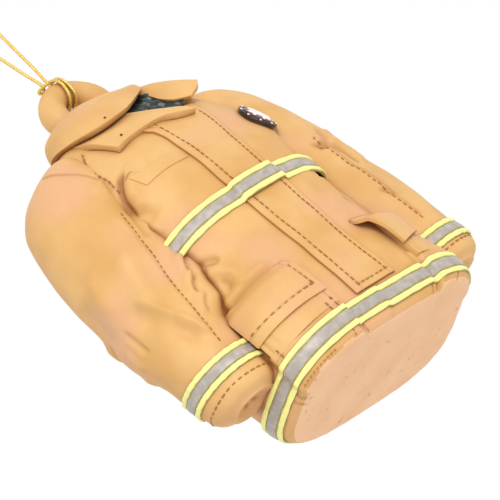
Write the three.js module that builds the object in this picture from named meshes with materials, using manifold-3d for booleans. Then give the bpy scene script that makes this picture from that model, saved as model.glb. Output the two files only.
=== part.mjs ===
// Hanging ornament in the form of a firefighter's turnout coat: a painted resin casting
// that hangs by a gold cord, hitched to the ring that is cast behind its collar.
// Millimetres, +Z up, the coat's front faces -Y and its wearer's left is +X.
// Heights are measured from the flat underside of the coat. The whole model is then
// lowered so that the point where the cord's loop hangs on its hook is the origin.

import * as THREE from 'three';
import { mergeVertices } from 'three/addons/utils/BufferGeometryUtils.js';
import Module from 'manifold-3d';

const wasm = await Module();
wasm.setup();

// ---------- driving dimensions ----------

const GAP = 0.3;                  // clearance between neighbouring pieces

const BODY_HEIGHT = 75;           // underside to the top of the neck base
const BODY_WIDTH = 52;            // across the hem, without the sleeves
const CHEST_FRONT = 17.6;         // chest band to the centre plane, front
const CHEST_BACK = 14.0;          // chest band to the centre plane, back

const SLEEVE_REACH = BODY_WIDTH / 2 + 3.6;  // centre plane to the middle of a cuff
const SLEEVE_RADIUS = 10.9;       // at the elbow
const CUFF_RADIUS = 7.9;          // at the cuff band
const CUFF_END_Z = 6.8;           // lowest edge of a cuff
const CUFF_TILT = 0.14;           // slope of the cuff's plane, lower at the front

const BAND_EDGE = 1.15;           // width of each yellow stripe
const BAND_CORE = 2.0;            // width of the silver stripe between them
const BAND_SEAM = 0.3;            // gap between stripes
const BAND_THICKNESS = 0.5;
const HEM_BAND_Z = 4.0;           // middle of the silver stripe on the hem
const CHEST_BAND_Z = 37.4;        // middle of the silver stripe on the chest
const SLEEVE_BAND_Z = 14.2;       // middle of the silver stripe on a sleeve

const FLAP_LEFT = 3.9;            // storm flap's edges, from the centre plane
const FLAP_RIGHT = -6.7;
const FLAP_TOP = BODY_HEIGHT - 14.2;
const FLAP_BOTTOM = 7.3;
const FLAP_THICKNESS = 0.7;

const POCKET_INNER = 10.6;        // pocket's edges, measured round the coat from its front
const POCKET_OUTER = 27.5;
const POCKET_TOP = 19.4;
const POCKET_BOTTOM = 1.0;
const POCKET_DEPTH = 1.5;
const POCKET_FLAP_TOP = 21.2;
const POCKET_FLAP_BOTTOM = 11.2;
const POCKET_FLAP_THICKNESS = 0.8;

const TAB_INNER = 7.4;            // name tab on the right chest
const TAB_OUTER = 17.7;
const TAB_BOTTOM = BODY_HEIGHT - 24.4;
const TAB_TOP = BODY_HEIGHT - 21.6;
const TAB_THICKNESS = 0.45;

const BADGE_AT = 17.3;            // round badge on the left chest, round the coat from its front
const BADGE_Z = BODY_HEIGHT - 21.8;
const BADGE_RADIUS = 4.5;
const BADGE_THICKNESS = 0.8;

const NECK_WIDTH = 12.2;          // half width of the collar stand, outside
const NECK_FRONT = 12.6;          // centre plane to the stand, front
const NECK_BACK = 9.2;
const NECK_WALL = 1.7;

const RING_EYE = 3.0;             // radius of the ring's hole
const RING_BAR = 2.8;             // radius of its bar
const RING_RADIUS = RING_EYE + RING_BAR;
const RING_Y = -1.2;
const RING_Z = BODY_HEIGHT + 6.9;   // centre of the eye

const CORD_RADIUS = 0.36;
const LOOP_HEIGHT = 45;           // ring's top to the point where the loop hangs
const HOOK_RADIUS = 5.5;          // of the hook that holds the loop open
const HITCH_PITCH = 1.7;          // between the two wraps round the ring
const KNOT_RADIUS = 1.05;

// ---------- the coat's body as a surface ----------

// Each station is a level section: height, half width, front depth, back depth and squareness.
const half = BODY_WIDTH / 2;
const BODY_STATIONS = [
  { z: 0, w: half - 1.0, f: 14.5, b: 13.2, n: 3.1 },
  { z: 5, w: half, f: 15.6, b: 14.0, n: 3.0 },
  { z: 20, w: half - 0.1, f: 16.6, b: 14.3, n: 2.7 },
  { z: CHEST_BAND_Z, w: half - 1.5, f: CHEST_FRONT, b: CHEST_BACK, n: 2.5 },
  { z: BODY_HEIGHT - 23, w: half - 2.6, f: 16.6, b: 12.9, n: 2.8 },
  { z: BODY_HEIGHT - 13, w: half - 4.2, f: 14.4, b: 11.0, n: 2.6 },
  { z: BODY_HEIGHT - 6, w: NECK_WIDTH + 5.8, f: 11.6, b: 9.4, n: 2.2 },
  { z: BODY_HEIGHT - 2.5, w: NECK_WIDTH + 1.3, f: 10.0, b: 8.4, n: 2.1 },
  { z: BODY_HEIGHT, w: NECK_WIDTH - 1.8, f: 8.8, b: 7.6, n: 2.0 },
];
const stationCurve = new THREE.CubicInterpolant(
  BODY_STATIONS.map((s) => s.z),
  BODY_STATIONS.flatMap((s) => [s.w, s.f, s.b, s.n]),
  4,
);

const SECTION_STEPS = 40;         // facets round the body
const ARC_STEPS = 200;            // finer steps, to measure along a section

// Point of the level section at height z, for an angle counted from the front centre to +X.
function bodyAngle(angle, z, offset = 0) {
  const [w, f, b, n] = stationCurve.evaluate(THREE.MathUtils.clamp(z, 0, BODY_HEIGHT));
  const s = Math.sin(angle);
  const c = Math.cos(angle);
  const depth = c > 0 ? f : b;
  const x = (w + offset) * Math.sign(s) * Math.abs(s) ** (2 / n);
  const y = -(depth + offset) * Math.sign(c) * Math.abs(c) ** (2 / n);
  return new THREE.Vector3(x, y, z);
}

// Point a given distance round the body from its front centre, positive to +X.
function bodyAlong(distance, z) {
  const step = Math.PI / ARC_STEPS;
  let angle = 0;
  let before = bodyAngle(0, z);
  let walked = 0;
  const target = Math.abs(distance);
  while (angle < Math.PI) {
    const next = bodyAngle(angle + step, z);
    const length = next.distanceTo(before);
    if (walked + length >= target) {
      const point = before.lerp(next, (target - walked) / length);
      point.x *= Math.sign(distance) || 1;
      return point;
    }
    walked += length;
    before = next;
    angle += step;
  }
  return before;
}

// The same point lifted off the body along the surface's normal.
function bodyPoint(distance, z, lift = 0) {
  const small = 0.2;
  const point = bodyAlong(distance, z);
  if (lift === 0) return point;
  const along = bodyAlong(distance + small, z).sub(bodyAlong(distance - small, z));
  const up = bodyAlong(distance, z + small).sub(bodyAlong(distance, z - small));
  const normal = new THREE.Vector3().crossVectors(along, up).normalize();
  return point.addScaledVector(normal, lift);
}

// ---------- solids ----------

// A closed body from its points and triangles, with the faces turned outwards.
function solid(points, faces) {
  const at = (i) => points[i];
  let volume = 0;
  for (const [a, b, c] of faces) volume += at(a).dot(new THREE.Vector3().crossVectors(at(b), at(c)));
  const turned = volume < 0 ? faces.map(([a, b, c]) => [a, c, b]) : faces;
  const geometry = new THREE.BufferGeometry();
  geometry.setAttribute('position', new THREE.Float32BufferAttribute(points.flatMap((p) => p.toArray()), 3));
  geometry.setIndex(turned.flat());
  return geometry;
}

// A skin over rings of points, each with the same number, closed at both ends by fans.
// With ringed set, the last ring joins the first one and there are no ends.
function loft(rings, ringed = false) {
  const count = rings[0].length;
  const points = rings.flat();
  const faces = [];
  const spans = ringed ? rings.length : rings.length - 1;
  for (let r = 0; r < spans; r += 1) {
    const next = (r + 1) % rings.length;
    for (let i = 0; i < count; i += 1) {
      const j = (i + 1) % count;
      faces.push([r * count + i, r * count + j, next * count + j]);
      faces.push([r * count + i, next * count + j, next * count + i]);
    }
  }
  if (!ringed) {
    for (const end of [0, rings.length - 1]) {
      const centre = rings[end].reduce((sum, p) => sum.add(p), new THREE.Vector3()).divideScalar(count);
      points.push(centre);
      for (let i = 0; i < count; i += 1) {
        const j = (i + 1) % count;
        const fan = [points.length - 1, end * count + i, end * count + j];
        faces.push(end === 0 ? fan.reverse() : fan);
      }
    }
  }
  return solid(points, faces);
}

// A plate between two matching grids of points, layer 0 inside and layer 1 outside.
function plate(columns, rows, pointAt) {
  const points = [];
  const index = (c, r, layer) => (c * (rows + 1) + r) * 2 + layer;
  for (let c = 0; c <= columns; c += 1) {
    for (let r = 0; r <= rows; r += 1) {
      points.push(pointAt(c / columns, r / rows, 0), pointAt(c / columns, r / rows, 1));
    }
  }
  const faces = [];
  const quad = (p, q, r, s) => faces.push([p, q, r], [p, r, s]);
  for (let c = 0; c < columns; c += 1) {
    for (let r = 0; r < rows; r += 1) {
      quad(index(c, r, 1), index(c + 1, r, 1), index(c + 1, r + 1, 1), index(c, r + 1, 1));
      quad(index(c, r, 0), index(c, r + 1, 0), index(c + 1, r + 1, 0), index(c + 1, r, 0));
    }
    quad(index(c, 0, 0), index(c + 1, 0, 0), index(c + 1, 0, 1), index(c, 0, 1));
    quad(index(c, rows, 0), index(c, rows, 1), index(c + 1, rows, 1), index(c + 1, rows, 0));
  }
  for (let r = 0; r < rows; r += 1) {
    quad(index(0, r, 0), index(0, r, 1), index(0, r + 1, 1), index(0, r + 1, 0));
    quad(index(columns, r, 0), index(columns, r + 1, 0), index(columns, r + 1, 1), index(columns, r, 1));
  }
  return solid(points, faces);
}

function toManifold(geometry) {
  const bare = geometry.clone();
  bare.deleteAttribute('normal');
  bare.deleteAttribute('uv');
  const merged = mergeVertices(bare, 1e-4);
  const vertProperties = new Float32Array(merged.attributes.position.array);
  const triVerts = new Uint32Array(merged.index.array);
  return new wasm.Manifold(new wasm.Mesh({ numProp: 3, vertProperties, triVerts }));
}

function fromManifold(shape) {
  const mesh = shape.getMesh();
  const geometry = new THREE.BufferGeometry();
  geometry.setAttribute('position', new THREE.BufferAttribute(mesh.vertProperties, 3));
  geometry.setIndex([...mesh.triVerts]);
  return geometry;
}

// The largest body of the first solid once the others are cut away from it.
function cut(geometry, ...tools) {
  let shape = toManifold(geometry);
  for (const tool of tools) shape = shape.subtract(toManifold(tool));
  const bodies = shape.decompose();
  bodies.sort((a, b) => b.volume() - a.volume());
  return fromManifold(bodies[0]);
}

const lerp = THREE.MathUtils.lerp;
const smooth = THREE.MathUtils.smoothstep;

// ---------- torso ----------

// Levels of the shoulders keep their distance from the neck base.
const belowNeck = (...drops) => drops.map((drop) => BODY_HEIGHT - drop);
const TORSO_LEVELS = [0, 1.2, 5, 12, 20, 29, CHEST_BAND_Z, ...belowNeck(30, 23, 17, 12, 8, 5, 2.5, 0)];

function torso(offset = 0) {
  const rings = TORSO_LEVELS.map((z, level) => {
    const last = level === TORSO_LEVELS.length - 1;
    const lift = level === 0 ? -offset : last ? offset : 0;
    const ring = [];
    for (let i = 0; i < SECTION_STEPS; i += 1) {
      const point = bodyAngle((i / SECTION_STEPS) * 2 * Math.PI, z, offset);
      point.z = z + lift;
      ring.push(point);
    }
    return ring;
  });
  return loft(rings);
}

// ---------- sleeves ----------

// Middle and half widths of a sleeve's sections, from the shoulder to the cuff.
const CUFF_TOP_Z = SLEEVE_BAND_Z - BAND_CORE / 2 - BAND_EDGE - 2 * BAND_SEAM;
const SLEEVE_STATIONS = [
  { z: BODY_HEIGHT - 2.7, x: half - 9.0, y: 0.2, w: 2.4, d: 4.0 },
  { z: BODY_HEIGHT - 4.0, x: half - 7.6, y: 0.2, w: 5.4, d: 6.6 },
  { z: BODY_HEIGHT - 8.5, x: half - 5.2, y: 0.3, w: SLEEVE_RADIUS - 1.5, d: SLEEVE_RADIUS - 1.7 },
  { z: BODY_HEIGHT - 17, x: half - 3.2, y: 0.6, w: SLEEVE_RADIUS + 0.1, d: SLEEVE_RADIUS - 0.3 },
  { z: BODY_HEIGHT - 27, x: half - 1.8, y: 1.2, w: SLEEVE_RADIUS + 0.2, d: SLEEVE_RADIUS + 0.2 },
  { z: BODY_HEIGHT - 37, x: half - 0.4, y: 1.5, w: SLEEVE_RADIUS, d: SLEEVE_RADIUS },
  { z: 27, x: half + 1.6, y: 0.8, w: SLEEVE_RADIUS - 1.0, d: SLEEVE_RADIUS - 1.0 },
  { z: 18.5, x: SLEEVE_REACH - 0.6, y: 0, w: CUFF_RADIUS + 0.6, d: CUFF_RADIUS + 0.7 },
  { z: SLEEVE_BAND_Z, x: SLEEVE_REACH, y: -0.3, w: CUFF_RADIUS, d: CUFF_RADIUS },
  { z: CUFF_TOP_Z, x: SLEEVE_REACH + 0.2, y: -0.4, w: CUFF_RADIUS - 0.1, d: CUFF_RADIUS },
  { z: CUFF_END_Z + 1.4, x: SLEEVE_REACH + 0.3, y: -0.5, w: CUFF_RADIUS - 0.9, d: CUFF_RADIUS - 0.8 },
  { z: CUFF_END_Z, x: SLEEVE_REACH + 0.3, y: -0.5, w: CUFF_RADIUS - 2.6, d: CUFF_RADIUS - 2.5 },
];
const sleeveCurve = new THREE.CubicInterpolant(
  SLEEVE_STATIONS.map((s) => -s.z),
  SLEEVE_STATIONS.flatMap((s) => [s.x, s.y, s.w, s.d]),
  4,
);
const SLEEVE_STEPS = 18;

// Ring of a sleeve's section. side is 1 for the wearer's left and -1 for the right.
function sleeveRing(side, z, offset = 0) {
  const [x, y, w, d] = sleeveCurve.evaluate(-z);
  const tilt = CUFF_TILT * (1 - smooth(z, SLEEVE_BAND_Z + 4, SLEEVE_BAND_Z + 16));
  const ring = [];
  for (let i = 0; i < SLEEVE_STEPS; i += 1) {
    const angle = (i / SLEEVE_STEPS) * 2 * Math.PI;
    const across = (w + offset) * Math.cos(angle);
    const deep = (d + offset) * Math.sin(angle);
    ring.push(new THREE.Vector3(side * (x + across), y + deep, z + tilt * deep));
  }
  return ring;
}

const SLEEVE_LEVELS = [...belowNeck(2.7, 4, 6.2, 9.5, 15, 22, 30, 38), 28, 20, SLEEVE_BAND_Z];
const CUFF_LEVELS = [CUFF_TOP_Z - GAP, CUFF_END_Z + 3.0, CUFF_END_Z + 1.4, CUFF_END_Z];

function sleeve(side, offset = 0) {
  const levels = [...SLEEVE_LEVELS, CUFF_TOP_Z];
  return loft(levels.map((z) => sleeveRing(side, z, offset)));
}

// The space that a whole sleeve takes, with its band and its cuff.
function sleeveSpace(side) {
  const levels = [...SLEEVE_LEVELS, ...CUFF_LEVELS];
  return loft(levels.map((z) => sleeveRing(side, z, 2 * GAP + BAND_THICKNESS)));
}

// The turned-in end of a sleeve below its band, with the shallow dimple in its closed face.
function cuff(side) {
  const rings = CUFF_LEVELS.map((z) => sleeveRing(side, z));
  const rim = rings[rings.length - 1];
  const centre = rim.reduce((sum, p) => sum.add(p), new THREE.Vector3()).divideScalar(rim.length);
  const dimple = rim.map((p) => p.clone().lerp(centre, 0.6).setZ(lerp(p.z, centre.z, 0.6) + 1.2));
  return loft([...rings, dimple]);
}

// ---------- reflective bands ----------

// How far the layers under a band lift it off the body, at a distance round the coat.
const RAMP = 0.5;

function raised(distance, from, to, height) {
  const rise = smooth(distance, from - RAMP, from);
  const fall = 1 - smooth(distance, to, to + RAMP);
  return height * Math.min(rise, fall);
}

function hemLift(distance) {
  return raised(Math.abs(distance), POCKET_INNER, POCKET_OUTER, POCKET_DEPTH + GAP);
}

function chestLift(distance) {
  return raised(distance, FLAP_RIGHT - 0.2, FLAP_LEFT + 0.2, FLAP_THICKNESS + GAP);
}

// Stations on both sides of each edge of a layer that lies under a band.
function edgesOf(...edges) {
  return edges.flatMap((edge) => [edge - RAMP, edge, edge + RAMP]);
}

// Distances round the body of the corners of its facets at a height.
function facetCorners(z) {
  const corners = [0];
  let walked = 0;
  let corner = 1;
  for (let i = 0; i < ARC_STEPS; i += 1) {
    const step = Math.PI / ARC_STEPS;
    walked += bodyAngle(i * step, z).distanceTo(bodyAngle((i + 1) * step, z));
    if ((i + 1) / ARC_STEPS >= (2 * corner) / SECTION_STEPS - 1e-9) {
      corners.push(walked, -walked);
      corner += 1;
    }
  }
  corners.pop();
  return corners;
}

// A ring all round the body. It bends where the body's facets meet and where the lift changes.
function bodyRing(z, width, lift, edges, low, high) {
  const stations = facetCorners(z);
  for (const edge of edges) stations.push(edge);
  stations.sort((a, b) => a - b);
  const kept = stations.filter((s, i) => i === 0 || s - stations[i - 1] > 0.15);
  const bottom = z - width / 2;
  const top = z + width / 2;
  const rings = kept.map((s) => [
    bodyPoint(s, bottom, low(s)),
    bodyPoint(s, top, low(s)),
    bodyPoint(s, top, high(s)),
    bodyPoint(s, bottom, high(s)),
  ]);
  return loft(rings, true);
}

function bodyStripe({ z, lift, edges }, step, width) {
  const low = (s) => GAP + lift(s);
  const high = (s) => GAP + lift(s) + BAND_THICKNESS;
  return bodyRing(z + step, width, lift, edges, low, high);
}

// The room that a whole band needs in what lies over it.
function bandRoom({ z, lift, edges }) {
  const high = (s) => 2 * GAP + lift(s) + BAND_THICKNESS;
  return bodyRing(z, BAND_WIDTH + 2 * GAP, lift, edges, () => 0.05, high);
}

// A stripe round a sleeve.
function sleeveStripe(side, z, width) {
  const corner = (level, lift) => sleeveRing(side, level, lift);
  const low = GAP;
  const high = GAP + BAND_THICKNESS;
  const loops = [
    corner(z - width / 2, low),
    corner(z + width / 2, low),
    corner(z + width / 2, high),
    corner(z - width / 2, high),
  ];
  const rings = loops[0].map((_, i) => loops.map((loop) => loop[i]));
  return loft(rings, true);
}

const STRIPE_STEP = BAND_CORE / 2 + BAND_SEAM + BAND_EDGE / 2;
const BAND_WIDTH = 2 * STRIPE_STEP + BAND_EDGE;

// ---------- patches on the front ----------

// A plate on the body between two distances and two heights.
function patch(from, to, bottom, top, low, high, columns, rows) {
  return plate(columns, rows, (u, v, layer) => {
    const lift = layer === 0 ? low : high;
    return bodyPoint(lerp(from, to, u), lerp(bottom, top, v), lift);
  });
}

// The bellows of a cargo pocket: full depth at its bottom and shallow at its top.
function pocket(side) {
  return plate(7, 5, (u, v, layer) => {
    const distance = side * lerp(POCKET_INNER + 0.5, POCKET_OUTER - 0.5, u);
    const depth = POCKET_DEPTH * (1 - 0.35 * v);
    return bodyPoint(distance, lerp(POCKET_BOTTOM, POCKET_TOP, v), layer === 0 ? GAP : GAP + depth);
  });
}

// A pocket's flap. lean opens it towards its lower edge.
function pocketFlap(side, lean) {
  const inset = 1.8;
  return plate(7, 4, (u, v, layer) => {
    const inner = POCKET_INNER - 1.2 + inset * (1 - v);
    const distance = side * lerp(inner, POCKET_OUTER - 1.2, u);
    const z = lerp(POCKET_FLAP_BOTTOM, POCKET_FLAP_TOP, v);
    const low = 2 * GAP + POCKET_DEPTH + lean * (1 - v);
    return bodyPoint(distance, z, layer === 0 ? low : low + POCKET_FLAP_THICKNESS);
  });
}

// A round disc that follows the chest, slightly domed.
function badge() {
  const steps = 24;
  const ring = (lift, share) => {
    const points = [];
    for (let i = 0; i < steps; i += 1) {
      const angle = (i / steps) * 2 * Math.PI;
      const distance = BADGE_AT + share * BADGE_RADIUS * Math.cos(angle);
      points.push(bodyPoint(distance, BADGE_Z + share * BADGE_RADIUS * Math.sin(angle), lift));
    }
    return points;
  };
  const face = GAP + BADGE_THICKNESS;
  return loft([ring(GAP, 0.15), ring(GAP, 0.6), ring(GAP, 1), ring(face, 1), ring(face + 0.15, 0.8), ring(face + 0.15, 0.15)]);
}

// ---------- collar ----------

const COLLAR_TOP_Z = BODY_HEIGHT + 3.6;  // rim of the stand at the back
const COLLAR_DROP = 7.0;          // the rim's fall from the back to the throat
const COLLAR_FOOT_Z = BODY_HEIGHT - 13;  // the stand's lower edge, inside the body
const COLLAR_LAYER = 1.3;         // thickness of a collar leaf

// Rim of the stand. The angle is counted from the front centre to +X.
function neckPoint(angle, inset, z) {
  const c = Math.cos(angle);
  const depth = c > 0 ? NECK_FRONT : NECK_BACK;
  return new THREE.Vector3((NECK_WIDTH - inset) * Math.sin(angle), -(depth - inset) * c, z);
}

function rimZ(angle) {
  return COLLAR_TOP_Z - COLLAR_DROP * ((1 + Math.cos(angle)) / 2) ** 1.4;
}

const THROAT_RIGHT = -0.28;       // angles where the stand ends on each side of the throat
const THROAT_LEFT = 0.42;

// The upright stand round the neck, open at the throat.
function collarStand() {
  const steps = 20;
  const rings = [];
  for (let i = 0; i <= steps; i += 1) {
    const angle = lerp(THROAT_LEFT, 2 * Math.PI + THROAT_RIGHT, i / steps);
    const top = rimZ(angle);
    rings.push([
      neckPoint(angle, 0, COLLAR_FOOT_Z),
      neckPoint(angle, 0, top),
      neckPoint(angle, NECK_WALL, top),
      neckPoint(angle, NECK_WALL, COLLAR_FOOT_Z),
    ]);
  }
  return cut(loft(rings), torso(GAP), throatOpening());
}

const CAVITY_FLOOR_Z = BODY_HEIGHT - 15;  // the hollow of the neck, below the stand
const LINING_DROP_BACK = 0.8;     // rim of the stand down to the lining
const LINING_DROP_FRONT = 3.4;
const THROAT_DEPTH = 11.6;        // centre plane to the lining's face in the throat
const THROAT_OPEN_Z = BODY_HEIGHT + 1;  // the opening is cut to above the stand
const THROAT_LINED_Z = BODY_HEIGHT - 5.4;  // and lined up to here

// The hollow inside the stand, as far in as its wall.
function neckCavity(offset, topAt) {
  const steps = 24;
  const rings = [CAVITY_FLOOR_Z - offset, null].map((z) => {
    const ring = [];
    for (let i = 0; i < steps; i += 1) {
      const angle = (i / steps) * 2 * Math.PI;
      ring.push(neckPoint(angle, NECK_WALL - offset, z ?? topAt(angle)));
    }
    return ring;
  });
  return loft(rings);
}

// The open throat, as a prism from the front into the hollow. It narrows to a point at
// the storm flap's top, and inset draws its sides in.
function throatPrism(inset, front, top) {
  const outline = [
    [-4.4 + inset, BODY_HEIGHT - 5],
    [3.4 - inset, FLAP_TOP + 1 + 2 * inset],
    [4.9 - inset, BODY_HEIGHT - 9],
    [4.6 - inset, top],
    [-4.0 + inset, top],
  ];
  return loft([front, -NECK_FRONT / 2].map((y) => outline.map(([x, z]) => new THREE.Vector3(x, y, z))));
}

function throatOpening() {
  return throatPrism(0, -2 * NECK_FRONT, THROAT_OPEN_Z);
}

function torsoBody() {
  const hollow = neckCavity(0, () => BODY_HEIGHT + 5);
  return cut(torso(), hollow, throatOpening());
}

// The dark lining inside the neck and the throat, with a groove for the ring's lower half.
function neckLining() {
  const drop = (angle) => lerp(LINING_DROP_BACK, LINING_DROP_FRONT, (1 + Math.cos(angle)) / 2);
  const plug = toManifold(neckCavity(-GAP, (angle) => rimZ(angle) - drop(angle)));
  const throat = toManifold(throatPrism(GAP, -THROAT_DEPTH, THROAT_LINED_Z));
  return cut(fromManifold(plug.add(throat)), ringBar(GAP));
}

// One leaf of the collar: a curved plate from the stand's rim down over the coat.
// reach and drop are functions of the angle, for the leaf's width and its fall.
function leaf(from, to, reach, drop, start, columns) {
  return plate(columns, 4, (u, v, layer) => {
    const angle = lerp(from, to, u);
    const c = Math.cos(angle);
    const depth = c > 0 ? NECK_FRONT : NECK_BACK;
    const out = start + GAP + reach(u) * v;
    const z = rimZ(angle) + 0.4 - drop(u) * v ** 1.5 - (layer === 0 ? COLLAR_LAYER : 0);
    return new THREE.Vector3((NECK_WIDTH + out) * Math.sin(angle), -(depth + out) * c, z);
  });
}

function collarLeafRight(tools) {
  const reach = (u) => 4.2 + 4.6 * smooth(u, 0.15, 0.62) - 2.6 * smooth(u, 0.7, 1);
  const drop = (u) => 3.2 + 5.6 * smooth(u, 0.1, 0.7);
  return cut(leaf(-2.2, THROAT_RIGHT - 0.05, reach, drop, 0, 12), ...tools);
}

function collarLeafLeft(tools) {
  const reach = (u) => 4.2 + 4.0 * smooth(u, 0.2, 0.8);
  const drop = (u) => 3.2 + 1.8 * smooth(u, 0.1, 0.7);
  return cut(leaf(2.2, THROAT_LEFT + 0.02, reach, drop, 0, 12), ...tools);
}

// The back of the collar, turned down between the two leaves.
function collarBack(tools) {
  const reach = () => 4.2;
  const drop = () => 3.4;
  const edge = 2.2 + 0.03;
  return cut(leaf(edge, 2 * Math.PI - edge, reach, drop, 0, 10), ...tools);
}

// ---------- hanging ring and cord ----------

// A bar bent into a ring that stands across the coat.
function ringBar(offset = 0) {
  const geometry = new THREE.TorusGeometry(RING_RADIUS, RING_BAR + offset, 12, 24);
  geometry.rotateX(Math.PI / 2);
  geometry.translate(0, RING_Y, RING_Z);
  return geometry;
}

const PIVOT_Z = RING_Z + RING_RADIUS;      // middle of the bar at the ring's top
const RING_TOP_Z = PIVOT_Z + RING_BAR;
const LOOP_TOP_Z = RING_TOP_Z + LOOP_HEIGHT;
const WRAP_RADIUS = RING_BAR + GAP + CORD_RADIUS;
const FORK_Z = PIVOT_Z + WRAP_RADIUS + 1.5;  // where the two strands part above the hitch

// A round cord along a chain of points, as one closed solid with eight sides.
function cordSolid(points, steps, radius = CORD_RADIUS) {
  const section = new THREE.Shape();
  for (let i = 0; i < 8; i += 1) {
    const angle = (i / 8) * 2 * Math.PI;
    const x = radius * Math.cos(angle);
    const y = radius * Math.sin(angle);
    if (i === 0) section.moveTo(x, y);
    else section.lineTo(x, y);
  }
  const path = new THREE.CatmullRomCurve3(points.map(([x, y, z]) => new THREE.Vector3(x, y, z)));
  return new THREE.ExtrudeGeometry(section, { steps, bevelEnabled: false, extrudePath: path });
}

// The hitch: two wraps round the bar joined by the bight that locks the strands.
function cordHitch() {
  const steps = 18;
  const across = HITCH_PITCH / 2 + CORD_RADIUS;
  const ringAt = (x, radius) => {
    const ring = [];
    for (let i = 0; i < steps; i += 1) {
      const angle = (i / steps) * 2 * Math.PI;
      ring.push(new THREE.Vector3(x, RING_Y + radius * Math.sin(angle), PIVOT_Z + radius * Math.cos(angle)));
    }
    return ring;
  };
  const inner = RING_BAR + GAP;
  const outer = inner + 2 * CORD_RADIUS;
  const loops = [ringAt(-across, inner), ringAt(across, inner), ringAt(across, outer), ringAt(-across, outer)];
  const rings = loops[0].map((_, i) => loops.map((loop) => loop[i]));
  return loft(rings, true);
}

// One strand of the loop, from the hitch to the knot over the hook.
function strandPoints(side) {
  const low = FORK_Z - 1.5 + 2 * CORD_RADIUS;
  const high = LOOP_TOP_Z - HOOK_RADIUS;
  const start = side * HITCH_PITCH / 2;
  const wide = side * (HOOK_RADIUS + CORD_RADIUS);
  return [
    [start, RING_Y, low],
    [start, RING_Y, low + 1.2],
    [lerp(start, wide, 0.12), RING_Y, lerp(low, high, 0.12)],
    [lerp(start, wide, 0.3), RING_Y, lerp(low, high, 0.3)],
    [lerp(start, wide, 0.5), RING_Y, lerp(low, high, 0.5)],
    [lerp(start, wide, 0.7), RING_Y, lerp(low, high, 0.7)],
    [lerp(start, wide, 0.88), RING_Y, lerp(low, high, 0.88)],
    [wide, RING_Y, high + 0.5],
    [0.9 * wide, RING_Y, high + 0.5 * HOOK_RADIUS],
    [0.62 * wide, RING_Y, high + 0.85 * HOOK_RADIUS],
    [side * (KNOT_RADIUS + GAP), RING_Y, LOOP_TOP_Z + CORD_RADIUS + 0.1],
  ];
}

function cordKnot() {
  const geometry = new THREE.SphereGeometry(KNOT_RADIUS, 12, 8);
  geometry.scale(1, 1, 1.25);
  geometry.translate(0, RING_Y, LOOP_TOP_Z + CORD_RADIUS + 0.4);
  return geometry;
}

// ---------- assembly ----------

const FINISHES = {
  cloth: new THREE.MeshStandardMaterial({ color: '#eebb7e', roughness: 0.62, metalness: 0 }),
  yellow: new THREE.MeshStandardMaterial({ color: '#f4f48a', roughness: 0.55, metalness: 0 }),
  silver: new THREE.MeshStandardMaterial({ color: '#aca49e', roughness: 0.5, metalness: 0.1 }),
  lining: new THREE.MeshStandardMaterial({ color: '#26302c', roughness: 0.5, metalness: 0 }),
  badge: new THREE.MeshStandardMaterial({ color: '#3a1418', roughness: 0.35, metalness: 0 }),
  gold: new THREE.MeshStandardMaterial({ color: '#dcb03c', roughness: 0.35, metalness: 0.8 }),
};

const ornament = new THREE.Group();
const model = new THREE.Group();
model.position.set(0, -RING_Y, -LOOP_TOP_Z);
ornament.add(model);

function add(name, geometry, finish) {
  const mesh = new THREE.Mesh(geometry, FINISHES[finish]);
  mesh.name = name;
  model.add(mesh);
}

const SIDES = [
  { side: -1, name: 'right' },
  { side: 1, name: 'left' },
];

const STRIPES = [
  { stripe: 'yellow_upper', step: STRIPE_STEP, width: BAND_EDGE, finish: 'yellow' },
  { stripe: 'silver', step: 0, width: BAND_CORE, finish: 'silver' },
  { stripe: 'yellow_lower', step: -STRIPE_STEP, width: BAND_EDGE, finish: 'yellow' },
];

const BANDS = [
  { name: 'hem', z: HEM_BAND_Z, lift: hemLift, edges: edgesOf(-POCKET_OUTER, -POCKET_INNER, POCKET_INNER, POCKET_OUTER) },
  { name: 'chest', z: CHEST_BAND_Z, lift: chestLift, edges: edgesOf(FLAP_RIGHT, FLAP_LEFT) },
];

add('torso', torsoBody(), 'cloth');
const seat = [torso(GAP), ...BANDS.map(bandRoom)];
for (const { side, name } of SIDES) {
  add(`sleeve_${name}`, cut(sleeve(side), ...seat), 'cloth');
  add(`cuff_${name}`, cut(cuff(side), ...seat), 'cloth');
  for (const { stripe, step, width, finish } of STRIPES) {
    add(`sleeve_band_${name}_${stripe}`, cut(sleeveStripe(side, SLEEVE_BAND_Z + step, width), ...seat), finish);
  }
  const room = sleeveSpace(side);
  add(`pocket_${name}`, cut(pocket(side), room), 'cloth');
  add(`pocket_flap_${name}`, cut(pocketFlap(side, side > 0 ? 0.9 : 0), room), 'cloth');
}
for (const band of BANDS) {
  for (const { stripe, step, width, finish } of STRIPES) {
    add(`${band.name}_band_${stripe}`, bodyStripe(band, step, width), finish);
  }
}
add('storm_flap', patch(FLAP_RIGHT, FLAP_LEFT, FLAP_BOTTOM, FLAP_TOP, GAP, GAP + FLAP_THICKNESS, 4, 14), 'cloth');
add('name_tab', patch(-TAB_OUTER, -TAB_INNER, TAB_BOTTOM, TAB_TOP, GAP, GAP + TAB_THICKNESS, 5, 1), 'cloth');
add('badge', badge(), 'badge');

const collarTools = [torso(GAP), sleeve(1, GAP), sleeve(-1, GAP)];
add('collar_stand', collarStand(), 'cloth');
add('neck_lining', neckLining(), 'lining');
add('collar_leaf_right', collarLeafRight(collarTools), 'cloth');
add('collar_leaf_left', collarLeafLeft(collarTools), 'cloth');
add('collar_back', collarBack(collarTools), 'cloth');

add('hanging_ring', ringBar(), 'cloth');
add('cord_hitch', cordHitch(), 'gold');
add('cord_strand_right', cordSolid(strandPoints(-1), 34), 'gold');
add('cord_strand_left', cordSolid(strandPoints(1), 34), 'gold');
add('cord_knot', cordKnot(), 'gold');

export default ornament;
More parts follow.
